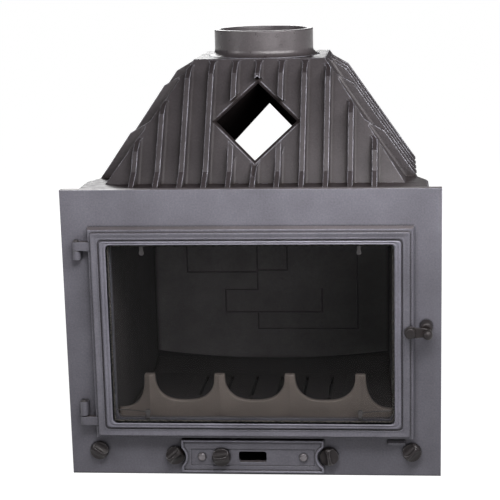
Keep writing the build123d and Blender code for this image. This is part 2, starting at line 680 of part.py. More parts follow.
# ---------------------------------------------------------------- smoke hood
def hood_block(inset, bottom, top):
    """Solid inside the hood's sloping faces, each face moved inwards by inset."""
    front_inset = lean_thickness(inset, FRONT_LEAN)
    side_inset = lean_thickness(inset, SIDE_LEAN)
    with BuildPart() as block:
        with BuildSketch(Plane.YZ):
            with BuildLine():
                Polyline(
                    (hood_front_y(bottom) + front_inset, bottom),
                    (hood_front_y(top) + front_inset, top),
                    (BODY_REAR_Y - inset, top),
                    (BODY_REAR_Y - inset, bottom),
                    close=True,
                )
            make_face()
        extrude(amount=hood_side_x(bottom), both=True)
        with BuildSketch(Plane.XZ):
            with BuildLine():
                Polyline(
                    (-hood_side_x(bottom) + side_inset, bottom),
                    (-hood_side_x(top) + side_inset, top),
                    (hood_side_x(top) - side_inset, top),
                    (hood_side_x(bottom) - side_inset, bottom),
                    close=True,
                )
            make_face()
        extrude(amount=-BODY_REAR_Y, mode=Mode.INTERSECT)
    return block.part


def tunnel_prism(outset, front_y, rear_y):
    """Diamond prism along the tunnel's slope between two depths, its walls moved outwards by outset."""
    start_z = TUNNEL_CENTRE_Z + (hood_front_y(TUNNEL_CENTRE_Z) - front_y) * TUNNEL_SLOPE
    slant = math.hypot(TUNNEL_HALF_WIDTH, TUNNEL_HALF_HEIGHT)
    half_width = TUNNEL_HALF_WIDTH + outset * slant / TUNNEL_HALF_HEIGHT
    half_height = TUNNEL_HALF_HEIGHT + outset * slant / TUNNEL_HALF_WIDTH
    with BuildPart() as prism:
        with BuildSketch(front_plane(front_y)):
            with BuildLine():
                Polyline(
                    (-half_width, start_z),
                    (0, start_z + half_height),
                    (half_width, start_z),
                    (0, start_z - half_height),
                    close=True,
                )
            make_face()
        run = rear_y - front_y
        extrude(amount=run * math.hypot(1, TUNNEL_SLOPE), dir=(0, 1, -TUNNEL_SLOPE))
    return prism.part


def rib_margin_cutter(direction):
    """Mouth of the tunnel on the hood's front face, widened by its margins and carried along direction."""
    mouth_half = TUNNEL_HALF_HEIGHT / (1 + TUNNEL_SLOPE * FRONT_LEAN)
    edge_slope = mouth_half / TUNNEL_HALF_WIDTH
    upper = mouth_half + TUNNEL_UPPER_MARGIN
    lower = mouth_half + TUNNEL_LOWER_MARGIN
    side_x = (upper + lower) / (2 * edge_slope)
    side_rise = (upper - lower) / 2
    stretch = math.hypot(1, FRONT_LEAN)
    face_plane = Plane(
        origin=(0, hood_front_y(TUNNEL_CENTRE_Z) + 2 * RIB_SINK, TUNNEL_CENTRE_Z),
        x_dir=(1, 0, 0),
        z_dir=(0, -1, FRONT_LEAN),
    )
    with BuildPart() as cutter:
        with BuildSketch(face_plane):
            with BuildLine():
                Polyline(
                    (-side_x, side_rise * stretch),
                    (0, upper * stretch),
                    (side_x, side_rise * stretch),
                    (0, -lower * stretch),
                    close=True,
                )
            make_face()
        extrude(amount=4 * FRONT_RIB_REACH, dir=direction)
    return cutter.part


def rib_end_below_tunnel(rib_x):
    """Height at which a rib below the tunnel's mouth ends on the hood's face."""
    mouth_half = TUNNEL_HALF_HEIGHT / (1 + TUNNEL_SLOPE * FRONT_LEAN)
    edge_rise = abs(rib_x) * mouth_half / TUNNEL_HALF_WIDTH
    return TUNNEL_CENTRE_Z - mouth_half - TUNNEL_LOWER_MARGIN + edge_rise


def rib_root(lean, length):
    """Rib section with coved roots, carried up a face that leans by lean, standing on the XY plane.

    The face's foot is the X axis, the rib stands out towards -Y.
    """
    half = RIB_THICKNESS / 2
    spread = half + RIB_ROOT_RADIUS
    tall = 2 * (FRONT_RIB_FOOT_REACH + RIB_SINK)
    section_plane = Plane(origin=(0, 0, 0), x_dir=(-1, 0, 0), z_dir=(0, lean, 1))
    with BuildPart() as root:
        with BuildSketch(section_plane):
            with BuildLine():
                Polyline((-half, RIB_ROOT_RADIUS), (-half, tall), (half, tall), (half, RIB_ROOT_RADIUS))
                RadiusArc((half, RIB_ROOT_RADIUS), (spread, 0), -RIB_ROOT_RADIUS)
                Polyline((spread, 0), (spread, -RIB_SINK), (-spread, -RIB_SINK), (-spread, 0))
                RadiusArc((-spread, 0), (-half, RIB_ROOT_RADIUS), -RIB_ROOT_RADIUS)
            make_face()
        extrude(amount=length * math.hypot(1, lean), both=True)
    return root.part


def rib_silhouette(face_at, outwards, top, reach, foot_reach, knee):
    """Outline of a rib seen from its side: sunk root, top chamfer, outer edge, knee and foot.

    face_at gives the face's place at a height, outwards is the sign of the rib's side of it.
    """
    outer_top = top - RIB_CHAMFER_DROP
    knee_z = FLANGE_TOP + knee
    stations = [
        (FLANGE_TOP - RIB_SINK, -RIB_SINK),
        (top, -RIB_SINK),
        (top, 0),
        (outer_top, reach),
        (knee_z, reach),
        (FLANGE_TOP, foot_reach),
        (FLANGE_TOP - RIB_SINK, foot_reach),
    ]
    return [(face_at(max(z, FLANGE_TOP)) + outwards * proud, z) for z, proud in stations]


def make_front_rib(rib_x):
    """One rib on the hood's front face, clipped where the side face begins and round the tunnel's mouth."""
    ridge_z = HOOD_TOP - max(0.0, abs(rib_x) - HOOD_TOP_WIDTH / 2) / SIDE_LEAN
    top = min(HOOD_TOP - RIB_TOP_GAP, ridge_z)
    outline = rib_silhouette(hood_front_y, -1, top, FRONT_RIB_REACH, FRONT_RIB_FOOT_REACH, FRONT_RIB_KNEE)
    spread = RIB_THICKNESS / 2 + RIB_ROOT_RADIUS
    root = rib_root(FRONT_LEAN, HOOD_RISE)
    with BuildPart() as rib:
        add(root.moved(Location((rib_x, HOOD_FRONT_Y, FLANGE_TOP))))
        with BuildSketch(Plane.YZ.offset(rib_x - spread)):
            with BuildLine():
                Polyline(*outline, close=True)
            make_face()
        extrude(amount=2 * spread, mode=Mode.INTERSECT)
        with BuildSketch(Plane.XZ):
            with BuildLine():
                Polyline(
                    (-hood_side_x(SKIRT_BOTTOM), SKIRT_BOTTOM),
                    (-hood_side_x(HOOD_TOP), HOOD_TOP),
                    (hood_side_x(HOOD_TOP), HOOD_TOP),
                    (hood_side_x(SKIRT_BOTTOM), SKIRT_BOTTOM),
                    close=True,
                )
            make_face()
        extrude(amount=-BODY_REAR_Y, mode=Mode.INTERSECT)
        if abs(rib_x) - spread < TUNNEL_HALF_WIDTH:
            # square end above the mouth, chamfered end below it that stays above the rib's knee
            room = rib_end_below_tunnel(rib_x) - FLANGE_TOP - FRONT_RIB_KNEE
            drop = min(RIB_CHAMFER_DROP, room)
            add(rib_margin_cutter((0, -1, 0)), mode=Mode.SUBTRACT)
            add(rib_margin_cutter((0, -FRONT_RIB_REACH, -drop)), mode=Mode.SUBTRACT)
    return rib.part


def make_side_rib(rib_y):
    """One rib on the hood's right face, clipped where the front face begins."""
    ridge_z = FLANGE_TOP + (rib_y - HOOD_FRONT_Y) / FRONT_LEAN
    top = min(HOOD_TOP - RIB_TOP_GAP, ridge_z)
    outline = rib_silhouette(hood_side_x, 1, top, SIDE_RIB_REACH, SIDE_RIB_FOOT_REACH, SIDE_RIB_KNEE)
    spread = RIB_THICKNESS / 2 + RIB_ROOT_RADIUS
    root = rib_root(SIDE_LEAN, HOOD_RISE)
    with BuildPart() as rib:
        add(root.rotate(Axis.Z, 90).moved(Location((hood_side_x(FLANGE_TOP), rib_y, FLANGE_TOP))))
        with BuildSketch(front_plane(rib_y + spread)):
            with BuildLine():
                Polyline(*outline, close=True)
            make_face()
        extrude(amount=2 * spread, mode=Mode.INTERSECT)
        with BuildSketch(Plane.YZ):
            with BuildLine():
                Polyline(
                    (hood_front_y(SKIRT_BOTTOM), SKIRT_BOTTOM),
                    (hood_front_y(HOOD_TOP), HOOD_TOP),
                    (BODY_REAR_Y, HOOD_TOP),
                    (BODY_REAR_Y, SKIRT_BOTTOM),
                    close=True,
                )
            make_face()
        extrude(amount=BODY_FRONT_WIDTH, mode=Mode.INTERSECT)
    return rib.part


def tunnel_tube():
    """Walls of the tunnel, trimmed to the hood's outer faces."""
    with BuildPart() as tube:
        add(tunnel_prism(TUNNEL_WALL, 0, BODY_REAR_Y))
        add(hood_block(0, SKIRT_BOTTOM, HOOD_TOP), mode=Mode.INTERSECT)
    return tube.part


with BuildPart() as rib_set:
    first_x = -(FRONT_RIB_COUNT - 1) / 2 * FRONT_RIB_PITCH
    add([make_front_rib(first_x + index * FRONT_RIB_PITCH) for index in range(FRONT_RIB_COUNT)])
    right_ribs = [make_side_rib(SIDE_RIB_FIRST_Y + index * SIDE_RIB_PITCH) for index in range(SIDE_RIB_COUNT)]
    add(right_ribs)
    add([rib.mirror(Plane.YZ) for rib in right_ribs])

with BuildPart() as hood:
    add(hood_block(0, FLANGE_BOTTOM, HOOD_TOP))
    # flange that covers the body, with its upper edge chamfered
    with BuildSketch(Plane.XY.offset(FLANGE_BOTTOM)):
        with BuildLine():
            Polyline(*body_outline(FLANGE_OVERHANG, FRAME_THICKNESS, BODY_REAR_Y), close=True)
        make_face()
    extrude(amount=FLANGE_THICKNESS)
    chamfer(
        hood.edges().filter_by(lambda edge: abs(edge.center().Z - FLANGE_TOP) < 0.01
                               and abs(edge.center().X) > hood_side_x(FLANGE_TOP) + 1),
        FLANGE_CHAMFER,
    )
    add(rib_set.part)
    # hollow inside, open below
    add(hood_block(HOOD_WALL, FLANGE_BOTTOM, HOOD_TOP - HOOD_WALL), mode=Mode.SUBTRACT)
    # hole under the collar, a little wider than its bore
    with BuildSketch(Plane.XY.offset(HOOD_TOP - HOOD_WALL)):
        with Locations((0, COLLAR_Y)):
            Circle(COLLAR_BORE_RADIUS + COLLAR_SEAT_MARGIN)
    extrude(amount=HOOD_WALL, mode=Mode.SUBTRACT)
    # rear skirt down to the back panel
    with BuildSketch(front_plane(BODY_REAR_Y)):
        edge_box(BODY_REAR_WIDTH / 2, SKIRT_BOTTOM, FLANGE_BOTTOM)
    extrude(amount=BODY_WALL)
    # diamond-shaped seat for the air tunnel, through the front and rear walls
    add(tunnel_prism(TUNNEL_WALL, TAPER_START_Y - HOOD_FRONT_Y, BODY_REAR_Y + BODY_WALL), mode=Mode.SUBTRACT)
    # blind holes for the bolts that hold the hood down
    with BuildSketch(Plane.XY.offset(FLANGE_BOTTOM)):
        with Locations(*HOOD_BOLTS):
            Circle(BOLT_RADIUS)
    extrude(amount=HOOD_BOLT_ENTRY, mode=Mode.SUBTRACT)
finish(hood, "hood")

# ---------------------------------------------------------------- air tunnel and collar on the hood
with BuildPart() as air_tunnel:
    add(tunnel_tube())
    add(tunnel_prism(0, TAPER_START_Y - HOOD_FRONT_Y, BODY_REAR_Y + BODY_WALL), mode=Mode.SUBTRACT)
finish(air_tunnel, "air_tunnel")

with BuildPart() as smoke_collar:
    # collar with its rounded rim and its coved foot
    with BuildSketch(Plane.XZ.offset(-COLLAR_Y)):
        with BuildLine():
            Polyline(
                (COLLAR_RADIUS + COLLAR_COVE, HOOD_TOP),
                (COLLAR_BORE_RADIUS, HOOD_TOP),
                (COLLAR_BORE_RADIUS, COLLAR_RIM_Z - COLLAR_EDGE),
            )
            RadiusArc(
                (COLLAR_BORE_RADIUS, COLLAR_RIM_Z - COLLAR_EDGE),
                (COLLAR_BORE_RADIUS + COLLAR_EDGE, COLLAR_RIM_Z),
                COLLAR_EDGE,
            )
            Line((COLLAR_BORE_RADIUS + COLLAR_EDGE, COLLAR_RIM_Z), (COLLAR_RADIUS - COLLAR_EDGE, COLLAR_RIM_Z))
            RadiusArc(
                (COLLAR_RADIUS - COLLAR_EDGE, COLLAR_RIM_Z),
                (COLLAR_RADIUS, COLLAR_RIM_Z - COLLAR_EDGE),
                COLLAR_EDGE,
            )
            Line((COLLAR_RADIUS, COLLAR_RIM_Z - COLLAR_EDGE), (COLLAR_RADIUS, HOOD_TOP + COLLAR_COVE))
            RadiusArc(
                (COLLAR_RADIUS, HOOD_TOP + COLLAR_COVE),
                (COLLAR_RADIUS + COLLAR_COVE, HOOD_TOP),
                -COLLAR_COVE,
            )
        make_face()
    revolve(axis=Axis((0, COLLAR_Y, 0), (0, 0, 1)))
    # the collar's cove ends at the front and rear edges of the top plate
    for cut_y, reach in ((BODY_REAR_Y, -2 * COLLAR_COVE), (hood_front_y(HOOD_TOP), 2 * COLLAR_COVE)):
        with BuildSketch(front_plane(cut_y)):
            edge_box(COLLAR_RADIUS + 2 * COLLAR_COVE, HOOD_TOP, HOOD_TOP + COLLAR_COVE)
        extrude(amount=reach, mode=Mode.SUBTRACT)
finish(smoke_collar, "smoke_collar")

# ---------------------------------------------------------------- ash chamber under the grate
CHAMBER_HALF = CHAMBER_WIDTH / 2
CHAMBER_REAR_Y = GRATE_REAR_Y + CHAMBER_WALL / 2
GRATE_SUPPORT_X = GRATE_WIDTH / 2 + CHAMBER_WALL / 2


def chamber_section(inset):
    """Cross-section of the ash chamber: upright sides that splay out to the grate's edges."""
    return [
        (-GRATE_SUPPORT_X + inset, HEARTH_UNDER_Z),
        (-CHAMBER_HALF + inset, CHAMBER_SPLAY_Z),
        (-CHAMBER_HALF + inset, BASE_THICKNESS),
        (CHAMBER_HALF - inset, BASE_THICKNESS),
        (CHAMBER_HALF - inset, CHAMBER_SPLAY_Z),
        (GRATE_SUPPORT_X - inset, HEARTH_UNDER_Z),
    ]


with BuildPart() as ash_chamber:
    with BuildSketch(front_plane(FRAME_THICKNESS)):
        with BuildLine():
            Polyline(*chamber_section(0), close=True)
        make_face()
    extrude(amount=FRAME_THICKNESS - CHAMBER_REAR_Y)
    with BuildSketch(front_plane(FRAME_THICKNESS)):
        with BuildLine():
            Polyline(*chamber_section(CHAMBER_WALL), close=True)
        make_face()
    extrude(amount=FRAME_THICKNESS + CHAMBER_WALL - CHAMBER_REAR_Y, mode=Mode.SUBTRACT)
    # cross bar under the front of the grate, above the ash pan
    with BuildSketch(front_plane(GRATE_FRONT_Y + CHAMBER_WALL / 2)):
        with BuildLine():
            Polyline(
                (-GRATE_SUPPORT_X + CHAMBER_WALL, HEARTH_UNDER_Z),
                (-CHAMBER_HALF + CHAMBER_WALL, CHAMBER_SPLAY_Z),
                (CHAMBER_HALF - CHAMBER_WALL, CHAMBER_SPLAY_Z),
                (GRATE_SUPPORT_X - CHAMBER_WALL, HEARTH_UNDER_Z),
                close=True,
            )
        make_face()
    extrude(amount=CHAMBER_WALL)
    # slots that let the air from the inner valves in under the grate
    with BuildSketch(Plane.YZ.offset(-CHAMBER_HALF)):
        with Locations((CHAMBER_REAR_Y / 2, (BASE_THICKNESS + CHAMBER_SPLAY_Z) / 2)):
            with GridLocations(2 * CHAMBER_SLOT_LENGTH, 0, 3, 1):
                SlotOverall(CHAMBER_SLOT_LENGTH, CHAMBER_SLOT_HEIGHT)
    extrude(amount=CHAMBER_WIDTH, mode=Mode.SUBTRACT)
finish(ash_chamber, "ash_chamber")

# ---------------------------------------------------------------- hearth bed and grate
BED_FRONT_HALF = LINER_FRONT_X + BODY_WALL + LINING_GAP
BED_REAR_HALF = LINER_REAR_X + BODY_WALL + LINING_GAP
FIREBACK_HALF = LINER_REAR_X - LINING_GAP

with BuildPart() as hearth_bed:
    with BuildSketch(Plane.XY.offset(HEARTH_UNDER_Z)):
        with BuildLine():
            Polyline(
                (BED_FRONT_HALF, HEARTH_FRONT_Y),
                (BED_REAR_HALF, FIREBACK_REAR_Y),
                (-BED_REAR_HALF, FIREBACK_REAR_Y),
                (-BED_FRONT_HALF, HEARTH_FRONT_Y),
                close=True,
            )
        make_face()
        with Locations((0, (GRATE_FRONT_Y + GRATE_REAR_Y) / 2)):
            Rectangle(
                GRATE_WIDTH + LINING_GAP, GRATE_REAR_Y - GRATE_FRONT_Y + LINING_GAP, mode=Mode.SUBTRACT
            )
    extrude(amount=HEARTH_THICKNESS)
    # ramp up to the foot of the fireback
    with BuildSketch(Plane.YZ.offset(-FIREBACK_HALF)):
        with BuildLine():
            Polyline(
                (RAMP_START_Y, HEARTH_Z),
                (FIREBACK_Y, RAMP_TOP_Z),
                (FIREBACK_REAR_Y, RAMP_TOP_Z),
                (FIREBACK_REAR_Y, HEARTH_Z),
                close=True,
            )
        make_face()
    extrude(amount=2 * FIREBACK_HALF)
finish(hearth_bed, "hearth_bed")

with BuildPart() as fire_grate:
    with BuildSketch(Plane.XY.offset(HEARTH_UNDER_Z)):
        with Locations((0, (GRATE_FRONT_Y + GRATE_REAR_Y) / 2)):
            Rectangle(GRATE_WIDTH, GRATE_REAR_Y - GRATE_FRONT_Y)
            row_pitch = GRATE_SLOT_LENGTH + 2 * GRATE_SLOT_WIDTH
            with GridLocations(GRATE_SLOT_PITCH, row_pitch, GRATE_SLOT_COUNT, 2):
                SlotOverall(GRATE_SLOT_LENGTH, GRATE_SLOT_WIDTH, rotation=90, mode=Mode.SUBTRACT)
    extrude(amount=HEARTH_THICKNESS)
finish(fire_grate, "fire_grate")

# ---------------------------------------------------------------- fireback
# Grooves of the cast brick-like relief: start and end of each line across and up the plate.
RELIEF_DROP = 55.0
RELIEF_TOP = LINER_TOP - RELIEF_DROP
RELIEF_LINES = [
    ((-181, RELIEF_TOP), (-181, 296)),
    ((-181, 296), (-30, 296)),
    ((-30, RELIEF_TOP), (-30, 257)),
    ((-30, 300), (34.5, 300)),
    ((34.5, RELIEF_TOP), (34.5, 300)),
    ((-99.5, 257), (-30, 257)),
    ((-99.5, 257), (-99.5, 207.5)),
    ((-99.5, 207.5), (108, 207.5)),
    ((108, 258), (108, 207.5)),
    ((-30, 207.5), (-30, 170.5)),
    ((-30, 170.5), (184.5, 170.5)),
    ((184.5, RELIEF_TOP), (184.5, 170.5)),
]
RELIEF_WIDTH = 3.0
RELIEF_DEPTH = 1.5

with BuildPart() as fireback_plate:
    with BuildSketch(front_plane(FIREBACK_REAR_Y)):
        with BuildLine():
            Polyline(
                (-FIREBACK_HALF, RAMP_TOP_Z + FIREBACK_EDGE_RISE),
                (-FIREBACK_HALF, LINER_TOP),
                (FIREBACK_HALF, LINER_TOP),
                (FIREBACK_HALF, RAMP_TOP_Z + FIREBACK_EDGE_RISE),
            )
            ThreePointArc(
                (FIREBACK_HALF, RAMP_TOP_Z + FIREBACK_EDGE_RISE),
                (0, RAMP_TOP_Z),
                (-FIREBACK_HALF, RAMP_TOP_Z + FIREBACK_EDGE_RISE),
            )
        make_face()
    extrude(amount=FIREBACK_THICKNESS)
    with BuildSketch(front_plane(FIREBACK_Y)):
        for (start_x, start_z), (end_x, end_z) in RELIEF_LINES:
            with Locations(((start_x + end_x) / 2, (start_z + end_z) / 2)):
                Rectangle(abs(end_x - start_x) + RELIEF_WIDTH, abs(end_z - start_z) + RELIEF_WIDTH)
    extrude(amount=-RELIEF_DEPTH, mode=Mode.SUBTRACT)
    # bosses that hold it off the back panel, drilled from behind
    with BuildSketch(front_plane(BACK_FRONT_Y)):
        with Locations(*FIREBACK_BOLTS):
            Circle(FIREBACK_BOSS_RADIUS)
    extrude(amount=BACK_FRONT_Y - FIREBACK_REAR_Y)
    with BuildSketch(front_plane(BACK_FRONT_Y)):
        with Locations(*FIREBACK_BOLTS):
            Circle(BOLT_RADIUS)
    extrude(amount=FIREBACK_BOLT_ENTRY, mode=Mode.SUBTRACT)
finish(fireback_plate, "fireback_plate")

# ---------------------------------------------------------------- side liners and baffle
with BuildPart() as side_liner_right:
    with BuildSketch(Plane.XY.offset(HEARTH_Z)):
        with BuildLine():
            Polyline(
                (LINER_FRONT_X, HEARTH_FRONT_Y),
                (LINER_FRONT_X + BODY_WALL, HEARTH_FRONT_Y),
                (LINER_REAR_X + BODY_WALL, FIREBACK_REAR_Y),
                (LINER_REAR_X, FIREBACK_REAR_Y),
                close=True,
            )
        make_face()
    extrude(amount=LINER_TOP - HEARTH_Z)
finish(side_liner_right, "side_liner_right")

with BuildPart() as side_liner_left:
    mirror(side_liner_right.part, about=Plane.YZ)
finish(side_liner_left, "side_liner_left")

with BuildPart() as baffle_plate:
    baffle_length = FIREBACK_Y - BAFFLE_FRONT_Y
    with BuildSketch(Plane.XY.offset(LINER_TOP)):
        with Locations((0, BAFFLE_FRONT_Y + baffle_length / 2)):
            RectangleRounded(2 * LINER_FRONT_X, baffle_length, BODY_WALL)
    extrude(amount=BAFFLE_THICKNESS)
    # bead that stiffens the front edge, turned down behind the flames
    with BuildSketch(Plane.XY.offset(LINER_TOP)):
        with Locations((0, BAFFLE_FRONT_Y + BODY_WALL)):
            SlotOverall(2 * (LINER_REAR_X - 2 * BODY_WALL), BODY_WALL)
    extrude(amount=-BAFFLE_THICKNESS / 2)
finish(baffle_plate, "baffle_plate")

# ---------------------------------------------------------------- log guard
POST_CENTRES = [(index - (GUARD_POST_COUNT - 1) / 2) * GUARD_POST_PITCH for index in range(GUARD_POST_COUNT)]
TROUGH_CENTRES = [post_x + GUARD_POST_PITCH / 2 for post_x in POST_CENTRES[:-1]]
TROUGH_HALF = (GUARD_POST_PITCH - GUARD_POST_WIDTH) / 2

with BuildPart() as log_guard:
    with BuildSketch(front_plane(GUARD_Y + GUARD_THICKNESS)):
        edge_box(GUARD_HALF_WIDTH, HEARTH_Z, GUARD_TOP)
        with Locations(*[(trough_x, GUARD_TOP) for trough_x in TROUGH_CENTRES]):
            Ellipse(TROUGH_HALF, GUARD_TROUGH_DEPTH, mode=Mode.SUBTRACT)
        end_half = GUARD_HALF_WIDTH - POST_CENTRES[-1] - GUARD_POST_WIDTH / 2
        with Locations(*[(side * GUARD_HALF_WIDTH, GUARD_TOP) for side in (-1, 1)]):
            Ellipse(end_half, GUARD_END_DEPTH, mode=Mode.SUBTRACT)
    extrude(amount=GUARD_THICKNESS)
    # upright crease down the face of each post
    for post_x in POST_CENTRES:
        with BuildSketch(Plane.XY.offset(HEARTH_Z)):
            with BuildLine():
                Polyline(
                    (post_x - GUARD_POST_WIDTH / 2, GUARD_Y),
                    (post_x, GUARD_Y - GUARD_CREASE),
                    (post_x + GUARD_POST_WIDTH / 2, GUARD_Y),
                    close=True,
                )
            make_face()
        extrude(amount=GUARD_TOP - HEARTH_Z)
finish(log_guard, "log_guard")

# ---------------------------------------------------------------- bolts of the fixed body
with BuildPart() as frame_bolts:
    bolt = make_bolt(FRAME_BOLT_ENTRY + GASKET_THICKNESS + BODY_WALL)
    places = [(x, PANEL_FRONT_Y + BODY_WALL, z) for x, z in FRAME_BOLTS]
    add(place_bolts(bolt, places, HEAD_TO_REAR))
finish(frame_bolts, "frame_bolts")

with BuildPart() as hood_bolts:
    bolt = make_bolt(HOOD_BOLT_ENTRY + GASKET_THICKNESS + BODY_WALL)
    places = [(x, y, PANEL_TOP - BODY_WALL) for x, y in HOOD_BOLTS]
    add(place_bolts(bolt, places, HEAD_DOWN))
finish(hood_bolts, "hood_bolts")

with BuildPart() as base_bolts:
    bolt = make_bolt(BODY_WALL + BASE_BOLT_ENTRY)
    places = [(x, y, BASE_THICKNESS + BODY_WALL) for x, y in BASE_BOLTS]
    add(place_bolts(bolt, places, HEAD_UP))
finish(base_bolts, "base_bolts")

with BuildPart() as back_bolts:
    bolt = make_bolt(2 * BODY_WALL + NUT_HEIGHT)
    places = [(x, BODY_REAR_Y, z) for x, z in BACK_BOLTS]
    add(place_bolts(bolt, places, HEAD_TO_REAR))
finish(back_bolts, "back_bolts")

with BuildPart() as back_nuts:
    with BuildSketch(front_plane(BACK_FRONT_Y - BODY_WALL)):
        with Locations(*BACK_BOLTS):
            RegularPolygon(radius=BOLT_HEAD_RADIUS, side_count=6)
            Circle(BOLT_RADIUS, mode=Mode.SUBTRACT)
    extrude(amount=NUT_HEIGHT)
finish(back_nuts, "back_nuts")

with BuildPart() as fireback_bolts:
    bolt = make_bolt(BODY_WALL + FIREBACK_BOLT_ENTRY)
    places = [(x, BODY_REAR_Y, z) for x, z in FIREBACK_BOLTS]
    add(place_bolts(bolt, places, HEAD_TO_REAR))
finish(fireback_bolts, "fireback_bolts")

# ---------------------------------------------------------------- latch keeper on the frame
with BuildPart() as latch_keeper:
    with BuildSketch(Plane.XY):
        with BuildLine():
            Polyline(
                (0, -FRAME_BOLT_ENTRY),
                (BOLT_RADIUS, -FRAME_BOLT_ENTRY),
                (BOLT_RADIUS, 0),
                (KEEPER_RADIUS, 0),
                (KEEPER_RADIUS, KEEPER_PROUD - KEEPER_RADIUS / 2),
            )
            RadiusArc(
                (KEEPER_RADIUS, KEEPER_PROUD - KEEPER_RADIUS / 2),
                (KEEPER_RADIUS / 2, KEEPER_PROUD),
                -KEEPER_RADIUS / 2,
            )
            Polyline((KEEPER_RADIUS / 2, KEEPER_PROUD), (0, KEEPER_PROUD), (0, -FRAME_BOLT_ENTRY))
        make_face()
    revolve(axis=Axis.Y)
KEEPER_PLANE = Plane(origin=(KEEPER_X, 0, KEEPER_Z), x_dir=(1, 0, 0), z_dir=(0, 0, -1))
latch_keeper.part = latch_keeper.part.moved(KEEPER_PLANE.location)
finish(latch_keeper, "latch_keeper")

# ---------------------------------------------------------------- hinge pins and washer
PIN_HEAD_STEP = 2.0
PIN_HEAD_RADIUS = PIN_RADIUS + PIN_HEAD_STEP
PIN_HEAD_HEIGHT = 3.0
UPPER_LUG_Z = UPPER_KNUCKLE_Z + UPPER_KNUCKLE_HEIGHT + WASHER_THICKNESS + MOVING_GAP
LOWER_LUG_Z = LOWER_KNUCKLE_Z - MOVING_GAP - WASHER_THICKNESS - DOOR_LUG_HEIGHT
UPPER_PIN_TOP = UPPER_LUG_Z + DOOR_LUG_HEIGHT + MOVING_GAP
LOWER_PIN_TOP = LOWER_KNUCKLE_Z + LOWER_KNUCKLE_HEIGHT


def make_pin(bottom, top):
    """Upright hinge pin with a round head on top."""
    with BuildPart() as pin:
        with BuildSketch(Plane.XY.offset(bottom)):
            with Locations((HINGE_X, HINGE_Y)):
                Circle(PIN_RADIUS)
        extrude(amount=top - bottom)
        with BuildSketch(Plane.XY.offset(top)):
            with Locations((HINGE_X, HINGE_Y)):
                Circle(PIN_HEAD_RADIUS)
        extrude(amount=PIN_HEAD_HEIGHT)
    return pin.part


with BuildPart() as hinge_pin_upper:
    add(make_pin(UPPER_KNUCKLE_Z, UPPER_PIN_TOP))
finish(hinge_pin_upper, "hinge_pin_upper")

with BuildPart() as hinge_pin_lower:
    add(make_pin(LOWER_LUG_Z, LOWER_PIN_TOP))
finish(hinge_pin_lower, "hinge_pin_lower")

with BuildPart() as hinge_washer:
    with BuildSketch(Plane.XY.offset(UPPER_KNUCKLE_Z + UPPER_KNUCKLE_HEIGHT)):
        with Locations((HINGE_X, HINGE_Y)):
            Circle(KNUCKLE_RADIUS)
            Circle(PIN_RADIUS, mode=Mode.SUBTRACT)
    extrude(amount=WASHER_THICKNESS)
finish(hinge_washer, "hinge_washer")


# ---------------------------------------------------------------- door
def opening_box(outset, radius=0.0, mode=Mode.ADD):
    """Box round the glazed opening of the door, moved outwards by outset."""
    edge_box(
        GLASS_OPENING_WIDTH / 2 + outset,
        GLASS_OPENING_BOTTOM - outset,
        GLASS_OPENING_TOP + outset,
        radius,
        mode,
    )


def door_box(outset, radius=0.0, mode=Mode.ADD):
    """Box round the door's raised face, moved outwards by outset."""
    edge_box(DOOR_HALF + outset, DOOR_BOTTOM - outset, DOOR_TOP + outset, radius, mode)


SEAL_INNER = GLASS_REBATE + SEAL_INSET
SEAL_OUTER = SEAL_INNER + SEAL_WIDTH
SEAL_FLOOR_Y = DOOR_BACK_Y - SEAL_GROOVE_DEPTH
LATCH_BOSS_Y = DOOR_FACE_Y - LATCH_BOSS_HEIGHT
LATCH_BOLT_END_Y = SEAL_FLOOR_Y - DOOR_GAP

